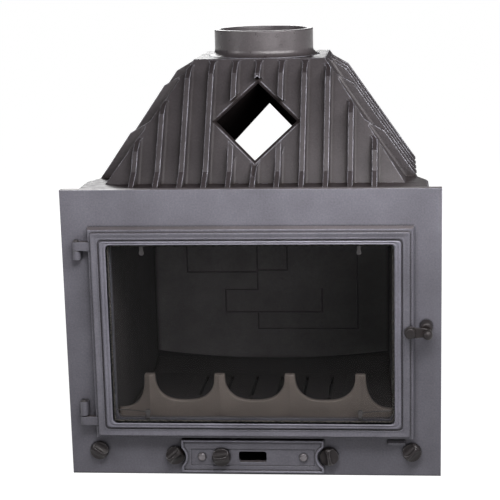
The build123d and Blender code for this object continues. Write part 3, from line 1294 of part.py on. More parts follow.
with BuildPart() as door_frame:
    with BuildSketch(front_plane(DOOR_BACK_Y)):
        door_box(DOOR_RIM + DOOR_DRAFT)
    extrude(amount=DOOR_RIM_DEPTH, taper=math.degrees(math.atan(DOOR_DRAFT / DOOR_RIM_DEPTH)))
    with BuildSketch(front_plane(DOOR_RIM_Y)):
        door_box(0, DOOR_CORNER)
    extrude(amount=DOOR_FACE_DEPTH)
    # raised bead round the glass, and the groove that runs round the face
    with BuildSketch(front_plane(DOOR_FACE_Y)):
        opening_box(DOOR_BEAD_WIDTH, GLASS_OPENING_CORNER + DOOR_BEAD_WIDTH)
    extrude(amount=DOOR_BEAD_HEIGHT)
    with BuildSketch(front_plane(DOOR_FACE_Y)):
        door_box(-DOOR_GROOVE_INSET, GLASS_OPENING_CORNER)
        door_box(-DOOR_GROOVE_INSET - DOOR_GROOVE_WIDTH, GLASS_OPENING_CORNER, Mode.SUBTRACT)
    extrude(amount=-DOOR_GROOVE_DEPTH, mode=Mode.SUBTRACT)
    # hinge lugs on the left edge
    for lug_z in (UPPER_LUG_Z, LOWER_LUG_Z):
        with BuildSketch(Plane.XY.offset(lug_z)):
            with Locations((HINGE_X, HINGE_Y)):
                Circle(KNUCKLE_RADIUS)
            with Locations(((HINGE_X - DOOR_HALF) / 2, HINGE_Y)):
                Rectangle(-DOOR_HALF - HINGE_X, 2 * KNUCKLE_RADIUS)
            with Locations((HINGE_X, HINGE_Y)):
                Circle(PIN_RADIUS + PIN_CLEARANCE, mode=Mode.SUBTRACT)
        extrude(amount=DOOR_LUG_HEIGHT)
    # boss for the latch, on the right edge
    with BuildSketch(front_plane(LATCH_BOLT_END_Y)):
        with Locations((LATCH_X, LATCH_Z)):
            Circle(LATCH_BOSS_RADIUS)
    extrude(amount=LATCH_BOLT_END_Y - LATCH_BOSS_Y)
    # glazed opening, glass rebate and seal groove
    with BuildSketch(front_plane(DOOR_BACK_Y)):
        opening_box(0, GLASS_OPENING_CORNER)
    extrude(amount=DOOR_BACK_Y - DOOR_FACE_Y + DOOR_BEAD_HEIGHT, mode=Mode.SUBTRACT)
    with BuildSketch(front_plane(DOOR_BACK_Y)):
        opening_box(GLASS_REBATE)
    extrude(amount=DOOR_BACK_Y - REBATE_FLOOR_Y, mode=Mode.SUBTRACT)
    with BuildSketch(front_plane(DOOR_BACK_Y)):
        opening_box(SEAL_OUTER)
        opening_box(SEAL_INNER, 0, Mode.SUBTRACT)
    extrude(amount=SEAL_GROOVE_DEPTH, mode=Mode.SUBTRACT)
    # blind hole for the latch pivot
    with BuildSketch(front_plane(LATCH_BOLT_END_Y)):
        with Locations((LATCH_X, LATCH_Z)):
            Circle(LATCH_BOLT_RADIUS)
    extrude(amount=LATCH_BOLT_END_Y - LATCH_BOSS_Y, mode=Mode.SUBTRACT)
    # tapped holes for the glass clips, in the floor and roof of the rebate
    for wall_z, inward in ((REBATE_BOTTOM, 1), (REBATE_TOP, -1)):
        with BuildSketch(Plane.XY.offset(wall_z)):
            with Locations(*[(side * CLIP_X, CLIP_SCREW_Y) for side in (-1, 1)]):
                Circle(CLIP_SCREW_RADIUS)
        extrude(amount=-inward * CLIP_SCREW_ENTRY, mode=Mode.SUBTRACT)
finish(door_frame, "door_frame")

with BuildPart() as door_glass:
    with BuildSketch(front_plane(GLASS_BACK_Y)):
        opening_box(GLASS_REBATE - GLASS_CLEARANCE)
    extrude(amount=GLASS_THICKNESS)
finish(door_glass, "door_glass")

with BuildPart() as glass_gasket:
    with BuildSketch(front_plane(GLASS_FRONT_Y)):
        opening_box(GLASS_REBATE - GLASS_CLEARANCE)
        opening_box(GLASS_CLEARANCE, GLASS_OPENING_CORNER, Mode.SUBTRACT)
    extrude(amount=GLASS_GASKET)
finish(glass_gasket, "glass_gasket")

with BuildPart() as door_rope_seal:
    with BuildSketch(front_plane(-SEAL_GAP)):
        opening_box(SEAL_OUTER)
        opening_box(SEAL_INNER, 0, Mode.SUBTRACT)
    extrude(amount=-SEAL_GAP - SEAL_FLOOR_Y)
finish(door_rope_seal, "door_rope_seal")


# ---------------------------------------------------------------- glass clips
def make_clip(clip_x):
    """Bent clip at the foot of the glass: a foot on the rebate's floor and a tongue up the glass."""
    with BuildPart() as clip:
        with BuildSketch(Plane.XY.offset(REBATE_BOTTOM)):
            with Locations((clip_x, (GLASS_BACK_Y + CLIP_FOOT_Y) / 2)):
                Rectangle(CLIP_WIDTH, CLIP_FOOT_Y - GLASS_BACK_Y)
            with Locations((clip_x, CLIP_SCREW_Y)):
                Circle(CLIP_SCREW_RADIUS, mode=Mode.SUBTRACT)
        extrude(amount=CLIP_FOOT_THICKNESS)
        with BuildSketch(front_plane(GLASS_BACK_Y + CLIP_THICKNESS)):
            with Locations((clip_x, REBATE_BOTTOM + CLIP_REACH / 2)):
                Rectangle(CLIP_WIDTH / 2, CLIP_REACH)
        extrude(amount=CLIP_THICKNESS)
        with BuildSketch(front_plane(GLASS_BACK_Y + 2 * CLIP_THICKNESS)):
            with Locations((clip_x, REBATE_BOTTOM + CLIP_REACH)):
                Circle(CLIP_BUTTON_RADIUS)
        extrude(amount=2 * CLIP_THICKNESS)
    return clip.part


def flip_to_top(piece):
    """The same piece at the top of the glass, mirrored about the glass's mid-height."""
    return piece.mirror(Plane.XY.offset((REBATE_BOTTOM + REBATE_TOP) / 2))


with BuildPart() as glass_clips:
    for side in (-1, 1):
        lower_clip = make_clip(side * CLIP_X)
        add(lower_clip)
        add(flip_to_top(lower_clip))
finish(glass_clips, "glass_clips")

with BuildPart() as glass_clip_screws:
    with BuildPart(mode=Mode.PRIVATE) as clip_screw:
        with BuildSketch():
            Circle(CLIP_SCREW_HEAD_RADIUS)
        extrude(amount=CLIP_SCREW_HEAD_HEIGHT)
        with BuildSketch():
            Circle(CLIP_SCREW_RADIUS)
        extrude(amount=-CLIP_FOOT_THICKNESS - CLIP_SCREW_ENTRY)
    for side in (-1, 1):
        lower_screw = clip_screw.part.moved(
            Location((side * CLIP_X, CLIP_SCREW_Y, REBATE_BOTTOM + CLIP_FOOT_THICKNESS))
        )
        add(lower_screw)
        add(flip_to_top(lower_screw))
finish(glass_clip_screws, "glass_clip_screws")

# ---------------------------------------------------------------- door latch
LEVER_BACK_Y = LATCH_BOSS_Y - MOVING_GAP
LEVER_FRONT_Y = LEVER_BACK_Y - LATCH_THICKNESS
LATCH_HEAD_Y = LEVER_FRONT_Y - MOVING_GAP
LATCH_TIP = (LATCH_X + LATCH_REACH, LATCH_Z)
BALL_CENTRE = LATCH_BALL_STEM + LATCH_BALL_RADIUS - LATCH_BALL_SINK

with BuildPart() as latch_pivot_bolt:
    with BuildSketch(front_plane(LATCH_BOLT_END_Y)):
        with Locations((LATCH_X, LATCH_Z)):
            Circle(LATCH_BOLT_RADIUS)
    extrude(amount=LATCH_BOLT_END_Y - LATCH_HEAD_Y)
    with BuildSketch(front_plane(LATCH_HEAD_Y)):
        with Locations((LATCH_X, LATCH_Z)):
            Circle(LATCH_HEAD_RADIUS)
    extrude(amount=LATCH_HEAD_HEIGHT)
    fillet(latch_pivot_bolt.faces().sort_by(Axis.Y)[0].edges(), LATCH_HEAD_HEIGHT / 2)
finish(latch_pivot_bolt, "latch_pivot_bolt")

with BuildPart() as latch_lever:
    with BuildSketch(front_plane(LEVER_BACK_Y)):
        with Locations((LATCH_X, LATCH_Z)):
            Circle(LATCH_EYE_RADIUS)
        with Locations(LATCH_TIP):
            Circle(LATCH_TIP_RADIUS)
        make_hull()
        with Locations((LATCH_X, LATCH_Z)):
            Circle(LATCH_BOLT_RADIUS + SPINDLE_CLEARANCE, mode=Mode.SUBTRACT)
        with Locations(LATCH_TIP):
            Circle(LATCH_STEM_RADIUS, mode=Mode.SUBTRACT)
    extrude(amount=LATCH_THICKNESS)
finish(latch_lever, "latch_lever")

with BuildPart() as latch_ball:
    with BuildSketch(front_plane(LEVER_BACK_Y)):
        with Locations(LATCH_TIP):
            Circle(LATCH_STEM_RADIUS)
    extrude(amount=LATCH_THICKNESS)
    with BuildSketch(front_plane(LEVER_FRONT_Y)):
        with Locations(LATCH_TIP):
            Circle(LATCH_STEM_RADIUS + LATCH_STEM_STEP)
    extrude(amount=BALL_CENTRE)
    with Locations((LATCH_TIP[0], LEVER_FRONT_Y - BALL_CENTRE, LATCH_TIP[1])):
        Sphere(LATCH_BALL_RADIUS)
finish(latch_ball, "latch_ball")


# ---------------------------------------------------------------- knobs, spindles and air shutters
def make_knob():
    """Turned knob standing on the XY plane: hub, round rim and a thumb blade along X."""
    rim_top = KNOB_HUB_HEIGHT + KNOB_RIM
    with BuildPart() as knob:
        with BuildSketch(Plane.XZ):
            with BuildLine():
                Polyline(
                    (0, rim_top),
                    (0, 0),
                    (KNOB_HUB_RADIUS, 0),
                    (KNOB_HUB_RADIUS, KNOB_HUB_HEIGHT),
                    (KNOB_RADIUS, KNOB_HUB_HEIGHT),
                    (KNOB_RADIUS, rim_top),
                )
                dome_rise = KNOB_PROUD - rim_top
                EllipticalCenterArc((0, rim_top), KNOB_RADIUS, dome_rise, start_angle=0, arc_size=90)
                Line((0, KNOB_PROUD), (0, rim_top))
            make_face()
        revolve(axis=Axis.Z)
        # hollows on both sides of the blade
        with BuildSketch(Plane.YZ):
            scoop_y = KNOB_SCOOP_RADIUS + KNOB_BLADE / 2
            scoop_z = rim_top + KNOB_SCOOP_RADIUS
            with Locations((-scoop_y, scoop_z), (scoop_y, scoop_z)):
                Circle(KNOB_SCOOP_RADIUS)
        extrude(amount=KNOB_RADIUS, both=True, mode=Mode.SUBTRACT)
        with BuildSketch():
            Circle(SPINDLE_RADIUS)
        extrude(amount=SPINDLE_SINK, mode=Mode.SUBTRACT)
    return knob.part


def knob_place(x, y, z, blade_angle):
    """Place for a knob whose base faces the frame at depth y, its blade turned from the horizontal."""
    turn = math.radians(blade_angle)
    return Plane(origin=(x, y, z), x_dir=(math.cos(turn), 0, math.sin(turn)), z_dir=(0, -1, 0)).location


KNOB_SHAPE = make_knob()
VALVE_KNOB_Y = -MOVING_GAP
SHUTTER_FRONT_Y = FRAME_THICKNESS + MOVING_GAP
SHUTTER_REAR_Y = SHUTTER_FRONT_Y + SHUTTER_THICKNESS
VALVE_SPINDLE = make_bolt(SHUTTER_REAR_Y - VALVE_KNOB_Y + SPINDLE_SINK, SPINDLE_RADIUS)

for valve_name, (valve_x, valve_z) in VALVES.items():
    with BuildPart() as air_knob:
        add(KNOB_SHAPE.moved(knob_place(valve_x, VALVE_KNOB_Y, valve_z, BLADE_ANGLES[valve_name])))
    finish(air_knob, f"air_knob_{valve_name}")

    with BuildPart() as air_spindle:
        add(place_bolts(VALVE_SPINDLE, [(valve_x, SHUTTER_REAR_Y, valve_z)], HEAD_TO_REAR))
    finish(air_spindle, f"air_spindle_{valve_name}")

    with BuildPart() as air_shutter:
        with BuildSketch(front_plane(SHUTTER_REAR_Y)):
            with Locations((valve_x, valve_z)):
                Circle(SHUTTER_RADIUS)
                Circle(SPINDLE_RADIUS, mode=Mode.SUBTRACT)
                with PolarLocations(PORT_CIRCLE_RADIUS, PORT_COUNT, start_angle=90):
                    Circle(PORT_RADIUS, mode=Mode.SUBTRACT)
        extrude(amount=SHUTTER_THICKNESS)
    finish(air_shutter, f"air_shutter_{valve_name}")

# ---------------------------------------------------------------- ash cover
COVER_BACK_Y = -SEAL_GAP
COVER_FACE_Y = COVER_BACK_Y - COVER_DEPTH
COVER_PANEL_Y = COVER_FACE_Y + COVER_PANEL_DEPTH
COVER_CENTRE_Z = (COVER_BOTTOM + COVER_TOP) / 2
RIVET_PLACES = [(RIVET_X + side * RIVET_SPACING / 2, RIVET_Z) for side in (-1, 1)]


def cover_shape(inset):
    """Outline of the ash cover moved inwards by inset, with a rounded bay round each inner knob."""
    with BuildSketch(mode=Mode.PRIVATE) as shape:
        with Locations((COVER_X, COVER_CENTRE_Z)):
            Rectangle(COVER_WIDTH - 2 * inset, COVER_TOP - COVER_BOTTOM - 2 * inset)
        with Locations((LEFT_INNER_VALVE_X, VALVE_Z), (RIGHT_INNER_VALVE_X, VALVE_Z)):
            Circle(COVER_SCALLOP_RADIUS + inset, mode=Mode.SUBTRACT)
        horns = shape.vertices().filter_by(lambda point: abs(point.Y - VALVE_Z) < COVER_SCALLOP_RADIUS)
        fillet(horns, COVER_BLEND_RADIUS - inset)
    return shape.sketch


with BuildPart() as ash_cover:
    with BuildSketch(front_plane(COVER_BACK_Y)):
        add(cover_shape(0))
    extrude(amount=COVER_DEPTH)
    # raised border and sunk middle panel
    with BuildSketch(front_plane(COVER_FACE_Y)):
        add(cover_shape(0))
        add(cover_shape(COVER_BORDER_WIDTH), mode=Mode.SUBTRACT)
    extrude(amount=COVER_BORDER_HEIGHT)
    with BuildSketch(front_plane(COVER_FACE_Y)):
        with Locations((COVER_X, (COVER_PANEL_BOTTOM + COVER_PANEL_TOP) / 2)):
            Rectangle(COVER_PANEL_WIDTH, COVER_PANEL_TOP - COVER_PANEL_BOTTOM)
    extrude(amount=-COVER_PANEL_DEPTH, mode=Mode.SUBTRACT)
    # hollow behind, with bosses for the rivets and the catch spindle
    with BuildSketch(front_plane(COVER_BACK_Y)):
        add(cover_shape(COVER_PLATE))
        with Locations(*RIVET_PLACES, (COVER_KNOB_X, COVER_KNOB_Z)):
            Circle(RIVET_HEAD_RADIUS, mode=Mode.SUBTRACT)
        with Locations((SLOT_X, SLOT_Z)):
            Rectangle(SLOT_WIDTH + 2 * COVER_PLATE, SLOT_HEIGHT + 2 * COVER_PLATE, mode=Mode.SUBTRACT)
    extrude(amount=COVER_DEPTH - COVER_PLATE, mode=Mode.SUBTRACT)
    # slot, rivet holes and spindle hole
    with BuildSketch(front_plane(COVER_BACK_Y)):
        with Locations((SLOT_X, SLOT_Z)):
            RectangleRounded(SLOT_WIDTH, SLOT_HEIGHT, SLOT_CORNER)
        with Locations(*RIVET_PLACES):
            Circle(RIVET_SHANK_RADIUS)
        with Locations((COVER_KNOB_X, COVER_KNOB_Z)):
            Circle(SPINDLE_HOLE_RADIUS)
    extrude(amount=COVER_DEPTH, mode=Mode.SUBTRACT)
finish(ash_cover, "ash_cover")

# ---------------------------------------------------------------- ash pan
PAN_BOTTOM = ASH_OPENING_BOTTOM + MOVING_GAP
PAN_FRONT_REAR_Y = COVER_BACK_Y + PAN_WALL

with BuildPart() as ash_pan:
    with BuildSketch(Plane.XY.offset(PAN_BOTTOM)):
        with Locations((0, COVER_BACK_Y + PAN_LENGTH / 2)):
            Rectangle(PAN_WIDTH, PAN_LENGTH)
    extrude(amount=PAN_HEIGHT)
    with BuildSketch(Plane.XY.offset(PAN_BOTTOM + PAN_WALL)):
        with Locations((0, COVER_BACK_Y + PAN_LENGTH / 2)):
            Rectangle(PAN_WIDTH - 2 * PAN_WALL, PAN_LENGTH - 2 * PAN_WALL)
    extrude(amount=PAN_HEIGHT, mode=Mode.SUBTRACT)
    with BuildSketch(front_plane(PAN_FRONT_REAR_Y)):
        with Locations((SLOT_X, SLOT_Z)):
            RectangleRounded(SLOT_WIDTH, SLOT_HEIGHT, SLOT_CORNER)
        with Locations(*RIVET_PLACES):
            Circle(RIVET_SHANK_RADIUS)
        with Locations((COVER_KNOB_X, COVER_KNOB_Z)):
            Circle(SPINDLE_HOLE_RADIUS)
    extrude(amount=PAN_WALL, mode=Mode.SUBTRACT)
finish(ash_pan, "ash_pan")

with BuildPart() as cover_rivets:
    with BuildSketch(front_plane(PAN_FRONT_REAR_Y)):
        with Locations(*RIVET_PLACES):
            Circle(RIVET_SHANK_RADIUS)
    extrude(amount=PAN_FRONT_REAR_Y - COVER_PANEL_Y)
    with BuildSketch(front_plane(COVER_PANEL_Y)):
        with Locations(*RIVET_PLACES):
            Circle(RIVET_HEAD_RADIUS)
    extrude(amount=RIVET_HEAD_HEIGHT)
    fillet(cover_rivets.faces().group_by(Axis.Y)[0].edges(), RIVET_HEAD_ROUND)
    with BuildSketch(front_plane(PAN_FRONT_REAR_Y)):
        with Locations(*RIVET_PLACES):
            Circle(RIVET_TAIL_RADIUS)
    extrude(amount=-RIVET_TAIL_HEIGHT)
finish(cover_rivets, "cover_rivets")

# ---------------------------------------------------------------- quarter-turn catch of the ash cover
COVER_KNOB_Y = COVER_PANEL_Y - MOVING_GAP
PAWL_FRONT_Y = FRAME_THICKNESS + CATCH_GAP
PAWL_REAR_Y = PAWL_FRONT_Y + CATCH_THICKNESS

with BuildPart() as cover_knob:
    add(KNOB_SHAPE.moved(knob_place(COVER_KNOB_X, COVER_KNOB_Y, COVER_KNOB_Z, COVER_BLADE_ANGLE)))
finish(cover_knob, "cover_knob")

with BuildPart() as catch_spindle:
    spindle = make_bolt(PAWL_REAR_Y - COVER_KNOB_Y + SPINDLE_SINK, SPINDLE_RADIUS)
    add(place_bolts(spindle, [(COVER_KNOB_X, PAWL_REAR_Y, COVER_KNOB_Z)], HEAD_TO_REAR))
finish(catch_spindle, "catch_spindle")

with BuildPart() as catch_pawl:
    with BuildSketch(front_plane(PAWL_REAR_Y)):
        with Locations((COVER_KNOB_X, COVER_KNOB_Z)):
            Circle(CATCH_WIDTH / 2 + CATCH_EYE_MARGIN)
        with Locations((COVER_KNOB_X - CATCH_LENGTH / 2, COVER_KNOB_Z)):
            Rectangle(CATCH_LENGTH, CATCH_WIDTH)
        with Locations((COVER_KNOB_X, COVER_KNOB_Z)):
            Circle(SPINDLE_RADIUS, mode=Mode.SUBTRACT)
    extrude(amount=CATCH_THICKNESS)
finish(catch_pawl, "catch_pawl")
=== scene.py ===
import math

import bpy
import numpy as np
from mathutils import Matrix


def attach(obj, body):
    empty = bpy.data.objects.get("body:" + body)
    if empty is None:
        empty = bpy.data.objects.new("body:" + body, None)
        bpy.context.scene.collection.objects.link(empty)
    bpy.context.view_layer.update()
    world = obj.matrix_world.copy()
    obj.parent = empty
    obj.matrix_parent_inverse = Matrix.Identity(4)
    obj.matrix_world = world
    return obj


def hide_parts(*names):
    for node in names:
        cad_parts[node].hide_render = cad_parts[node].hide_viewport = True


# Looks for a cast-iron fireplace insert. Measurements here are in millimetres, as in the model,
# and become metres when a mesh is made. X runs right, Y into the chimney breast, Z up. Lamps and
# camera are placed in metres.

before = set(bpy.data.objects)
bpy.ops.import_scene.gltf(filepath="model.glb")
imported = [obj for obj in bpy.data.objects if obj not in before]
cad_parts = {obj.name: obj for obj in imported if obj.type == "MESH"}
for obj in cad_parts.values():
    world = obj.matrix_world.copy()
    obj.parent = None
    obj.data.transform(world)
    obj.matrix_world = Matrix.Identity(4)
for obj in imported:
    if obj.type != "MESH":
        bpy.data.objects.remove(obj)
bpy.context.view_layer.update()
MM = 0.001


# ---------------------------------------------------------------- colours and nodes
def linear(hex_colour):
    """An sRGB hex colour as linear red, green, blue and alpha."""
    srgb = np.array([int(hex_colour[i:i + 2], 16) for i in (1, 3, 5)]) / 255
    low = srgb / 12.92
    high = ((srgb + 0.055) / 1.055) ** 2.4
    return (*np.where(srgb <= 0.04045, low, high).tolist(), 1.0)


def node(tree, kind, links=None, **settings):
    """Adds one shader node. Settings are its properties, and links fill its inputs.

    A link is a value, a socket, or a node that stands for its own first output.
    """
    made = tree.nodes.new(kind)
    for name, value in settings.items():
        setattr(made, name, value)
    for name, value in (links or {}).items():
        if isinstance(value, bpy.types.Node):
            value = value.outputs[0]
        if isinstance(value, bpy.types.NodeSocket):
            tree.links.new(value, made.inputs[name])
        else:
            made.inputs[name].default_value = value
    return made


def new_material(name):
    """An empty material with its output node."""
    material = bpy.data.materials.new(name)
    material.use_nodes = True
    tree = material.node_tree
    tree.nodes.clear()
    return material, tree, node(tree, "ShaderNodeOutputMaterial")


def cells_per_metre(size_mm):
    """Noise scale, in cells per metre, for a pattern whose cells are size_mm across."""
    return 1 / (size_mm * MM)


# ---------------------------------------------------------------- materials
# the hood's diamond tunnel: half its width and height, a point on its middle line and that line's fall
TUNNEL_HALF_WIDTH, TUNNEL_HALF_HEIGHT = 78.0, 82.0
TUNNEL_MIDDLE_Y, TUNNEL_MIDDLE_Z, TUNNEL_SLOPE = 181.3, 650.0, 0.267

CLOUD_MM, BLOTCH_MM = 85, 14
MOST_OF_NOISE = {"From Min": 0.3, "From Max": 0.7}
FROM_NONE_TO_ALL = {"To Min": 0.0, "To Max": 1.0}


def tunnel_painted_shade(tree, place):
    """How far a point lies in the hood's tunnel, from 0 outside to 0.95 on its walls: the mask of the painted
    shade on those walls.

    The sum of x over the half width and of the height off the sloping middle line over the half
    height is 1 on the diamond's walls and more than 1 on the hood's outer face.
    """
    at = node(tree, "ShaderNodeSeparateXYZ", {0: place})
    deeper = node(tree, "ShaderNodeMath", {0: at.outputs["Y"], 1: TUNNEL_MIDDLE_Y * MM}, operation="SUBTRACT")
    fall = node(tree, "ShaderNodeMath", {0: deeper, 1: TUNNEL_SLOPE}, operation="MULTIPLY")
    higher = node(tree, "ShaderNodeMath", {0: at.outputs["Z"], 1: TUNNEL_MIDDLE_Z * MM}, operation="SUBTRACT")
    rise = node(tree, "ShaderNodeMath", {0: higher, 1: fall}, operation="ADD")
    from_middle_line = node(tree, "ShaderNodeMath", {0: rise}, operation="ABSOLUTE")
    sideways = node(tree, "ShaderNodeMath", {0: at.outputs["X"]}, operation="ABSOLUTE")
    across = node(tree, "ShaderNodeMath", {0: sideways, 1: TUNNEL_HALF_WIDTH * MM}, operation="DIVIDE")
    upright = node(tree, "ShaderNodeMath", {
        0: from_middle_line, 1: TUNNEL_HALF_HEIGHT * MM}, operation="DIVIDE")
    diamond = node(tree, "ShaderNodeMath", {0: across, 1: upright}, operation="ADD")
    return node(tree, "ShaderNodeMapRange", {
        "Value": diamond, "From Min": 1.1, "From Max": 1.05, "To Min": 0.0, "To Max": 0.95})


def painted_cast_iron(name, face, up_facing_painted_colour, edge, roughness, metal, grain_mm, grain_height_mm,
                      wear_and_highlight_amount=0.75, rounding_mm=1.6, sheen=0.25, corner_mm=14, corner_shade_colour="#231D1B", tunnel_shade_colour=None):
    """Grey iron cast in sand, brushed over with thin graphite-grey heat-proof paint.

    Seen closely it is a fine even grain with a satin sheen. The paint lies thin and pale on the
    edges, where a painted highlight is laid over the wear; what faces up gets a painted tone of light
    and shade, darker on most castings and lighter on the beads; painted shade darkens the corners; and
    broad soft clouds run over the large faces. The sand's grains are well under a millimetre, so they
    are drawn about 3 mm across, where they just show. A casting that stands in the fire has lost its
    paint, and is the same iron, only duller.
    """
    material, tree, output = new_material(name)
    place = node(tree, "ShaderNodeTexCoord")
    at = place.outputs["Object"]
    clouds = node(tree, "ShaderNodeTexNoise", {
        "Vector": at, "Scale": cells_per_metre(CLOUD_MM), "Detail": 3.0})
    blotches = node(tree, "ShaderNodeTexNoise", {
        "Vector": at, "Scale": cells_per_metre(BLOTCH_MM), "Detail": 4.0})
    grain = node(tree, "ShaderNodeTexNoise", {
        "Vector": at, "Scale": cells_per_metre(grain_mm), "Detail": 5.0, "Roughness": 0.62})

    # edges are where the rounded normal leaves the face's own
    rounded = node(tree, "ShaderNodeBevel", {"Radius": rounding_mm * MM}, samples=4)
    geometry = node(tree, "ShaderNodeNewGeometry")
    along = node(tree, "ShaderNodeVectorMath", {
        0: rounded, 1: geometry.outputs["Normal"]}, operation="DOT_PRODUCT")
    edges = node(tree, "ShaderNodeMapRange", {
        "Value": along.outputs["Value"], "From Min": 0.995, "From Max": 0.84, **FROM_NONE_TO_ALL})
    # blotches break up the edge wear and its painted highlight
    patchy_wear_and_highlight = node(tree, "ShaderNodeMapRange", {
        "Value": blotches, "From Min": 0.35, "From Max": 0.6, "To Min": 0.3 * wear_and_highlight_amount, "To Max": wear_and_highlight_amount})
    # how open a place is: 1 on faces and outer edges, less in corners
    openness = node(tree, "ShaderNodeAmbientOcclusion", {"Distance": corner_mm * MM}, samples=6).outputs["AO"]
    outer = node(tree, "ShaderNodeMapRange", {
        "Value": openness, "From Min": 0.86, "From Max": 0.98, **FROM_NONE_TO_ALL})
    # the edge colour is worn paint with a painted highlight laid over it
    edge_wear_and_highlight = node(tree, "ShaderNodeMath", {0: edges, 1: patchy_wear_and_highlight}, operation="MULTIPLY")
    edge_wear_and_highlight = node(tree, "ShaderNodeMath", {0: edge_wear_and_highlight, 1: outer}, operation="MULTIPLY")
    # what faces up gets a painted tone of light and shade: darker on most castings, lighter on the beads
    facing = node(tree, "ShaderNodeSeparateXYZ", {0: place.outputs["Normal"]})
    up_facing_painted_mask = node(tree, "ShaderNodeMapRange", {
        "Value": facing.outputs["Z"], "From Min": 0.45, "From Max": 0.95, "To Min": 0.0, "To Max": 0.85})
    # painted shade: corners darken towards the corner shade colour as the ambient occlusion falls
    painted_corner_shade = node(tree, "ShaderNodeMapRange", {
        "Value": openness, "From Min": 0.88, "From Max": 0.5, "To Min": 0.0, "To Max": 0.95})

    # one coat over another: painted light and shade on what faces up, wear and a painted highlight on edges,
    # painted shade in corners and in the tunnel
    coats = [(up_facing_painted_mask, up_facing_painted_colour), (edge_wear_and_highlight, edge), (painted_corner_shade, corner_shade_colour)]
    if tunnel_shade_colour:
        coats.append((tunnel_painted_shade(tree, at), tunnel_shade_colour))
    finished = linear(face)
    for amount, coat in coats:
        finished = node(tree, "ShaderNodeMix", {
            "Factor": amount, 6: finished, 7: linear(coat)}, data_type="RGBA").outputs[2]
    cloudy = node(tree, "ShaderNodeMapRange", {
        "Value": clouds, **MOST_OF_NOISE, "To Min": 0.86, "To Max": 1.14})
    specked = node(tree, "ShaderNodeMapRange", {
        "Value": grain, **MOST_OF_NOISE, "To Min": 0.84, "To Max": 1.16})
    shade = node(tree, "ShaderNodeMath", {0: cloudy, 1: specked}, operation="MULTIPLY")
    colour = node(tree, "ShaderNodeVectorMath", {0: finished, "Scale": shade}, operation="SCALE")
    rough = node(tree, "ShaderNodeMapRange", {
        "Value": blotches, **MOST_OF_NOISE, "To Min": roughness - 0.07, "To Max": roughness + 0.07})
    bump = node(tree, "ShaderNodeBump", {
        "Height": grain, "Normal": rounded, "Strength": 1.0, "Distance": grain_height_mm * MM})
    shader = node(tree, "ShaderNodeBsdfPrincipled", {
        "Base Color": colour, "Roughness": rough, "Metallic": metal,
        "Specular IOR Level": sheen, "Normal": bump})
    tree.links.new(shader.outputs[0], output.inputs["Surface"])
    return material


def blackened_steel(name, face, roughness):
    """Turned, rolled or drawn steel, oiled or painted black.

    It is smooth, and darker than the castings, with faint marks from the tool about 3 mm apart,
    coarser than the real ones so that they show.
    """
    material, tree, output = new_material(name)
    place = node(tree, "ShaderNodeTexCoord")
    marks = node(tree, "ShaderNodeTexNoise", {
        "Vector": place.outputs["Object"], "Scale": cells_per_metre(3.0), "Detail": 3.0})
    tone = node(tree, "ShaderNodeMapRange", {
        "Value": marks, **MOST_OF_NOISE, "To Min": 0.85, "To Max": 1.15})
    colour = node(tree, "ShaderNodeVectorMath", {0: linear(face)[:3], "Scale": tone}, operation="SCALE")
    rounded = node(tree, "ShaderNodeBevel", {"Radius": 0.8 * MM}, samples=4)
    bump = node(tree, "ShaderNodeBump", {"Height": marks, "Normal": rounded, "Distance": 0.15 * MM})
    shader = node(tree, "ShaderNodeBsdfPrincipled", {
        "Base Color": colour, "Roughness": roughness, "Metallic": 0.8, "Normal": bump})
    tree.links.new(shader.outputs[0], output.inputs["Surface"])
    return material


def braided_fibre(name, face, gap):
    """Braided glass-fibre seal: pale threads crossing every 3 mm, with dark gaps and no shine."""
    material, tree, output = new_material(name)
    place = node(tree, "ShaderNodeTexCoord")
    threads = node(tree, "ShaderNodeTexVoronoi", {
        "Vector": place.outputs["Object"], "Scale": cells_per_metre(3.0)}, feature="F1")
    depth = node(tree, "ShaderNodeMapRange", {
        "Value": threads, "From Min": 0.1, "From Max": 0.7, **FROM_NONE_TO_ALL})
    colour = node(tree, "ShaderNodeMix", {
        "Factor": depth, 6: linear(face), 7: linear(gap)}, data_type="RGBA")
    bump = node(tree, "ShaderNodeBump", {"Height": threads, "Distance": -0.6 * MM})
    shader = node(tree, "ShaderNodeBsdfPrincipled", {
        "Base Color": colour.outputs[2], "Roughness": 0.95, "Normal": bump})
    tree.links.new(shader.outputs[0], output.inputs["Surface"])
    return material


def ceramic_glass(name):
    """Clear glass-ceramic pane: see-through with a slight smoke tint and a sharp thin reflection."""
    material, tree, output = new_material(name)
    clear = node(tree, "ShaderNodeBsdfTransparent", {"Color": linear("#F4F4F4")})
    gloss = node(tree, "ShaderNodeBsdfGlossy", {"Color": linear("#5C5C5C"), "Roughness": 0.05})
    # light goes straight through, so the way out of the pane reflects as little as the way in
    geometry = node(tree, "ShaderNodeNewGeometry")
    ior = node(tree, "ShaderNodeMapRange", {
        "Value": geometry.outputs["Backfacing"], "To Min": 1.45, "To Max": 1 / 1.45})
    fresnel = node(tree, "ShaderNodeFresnel", {"IOR": ior})
    pane = node(tree, "ShaderNodeMixShader", {"Fac": fresnel, 1: clear, 2: gloss})
    tree.links.new(pane.outputs[0], output.inputs["Surface"])
    return material


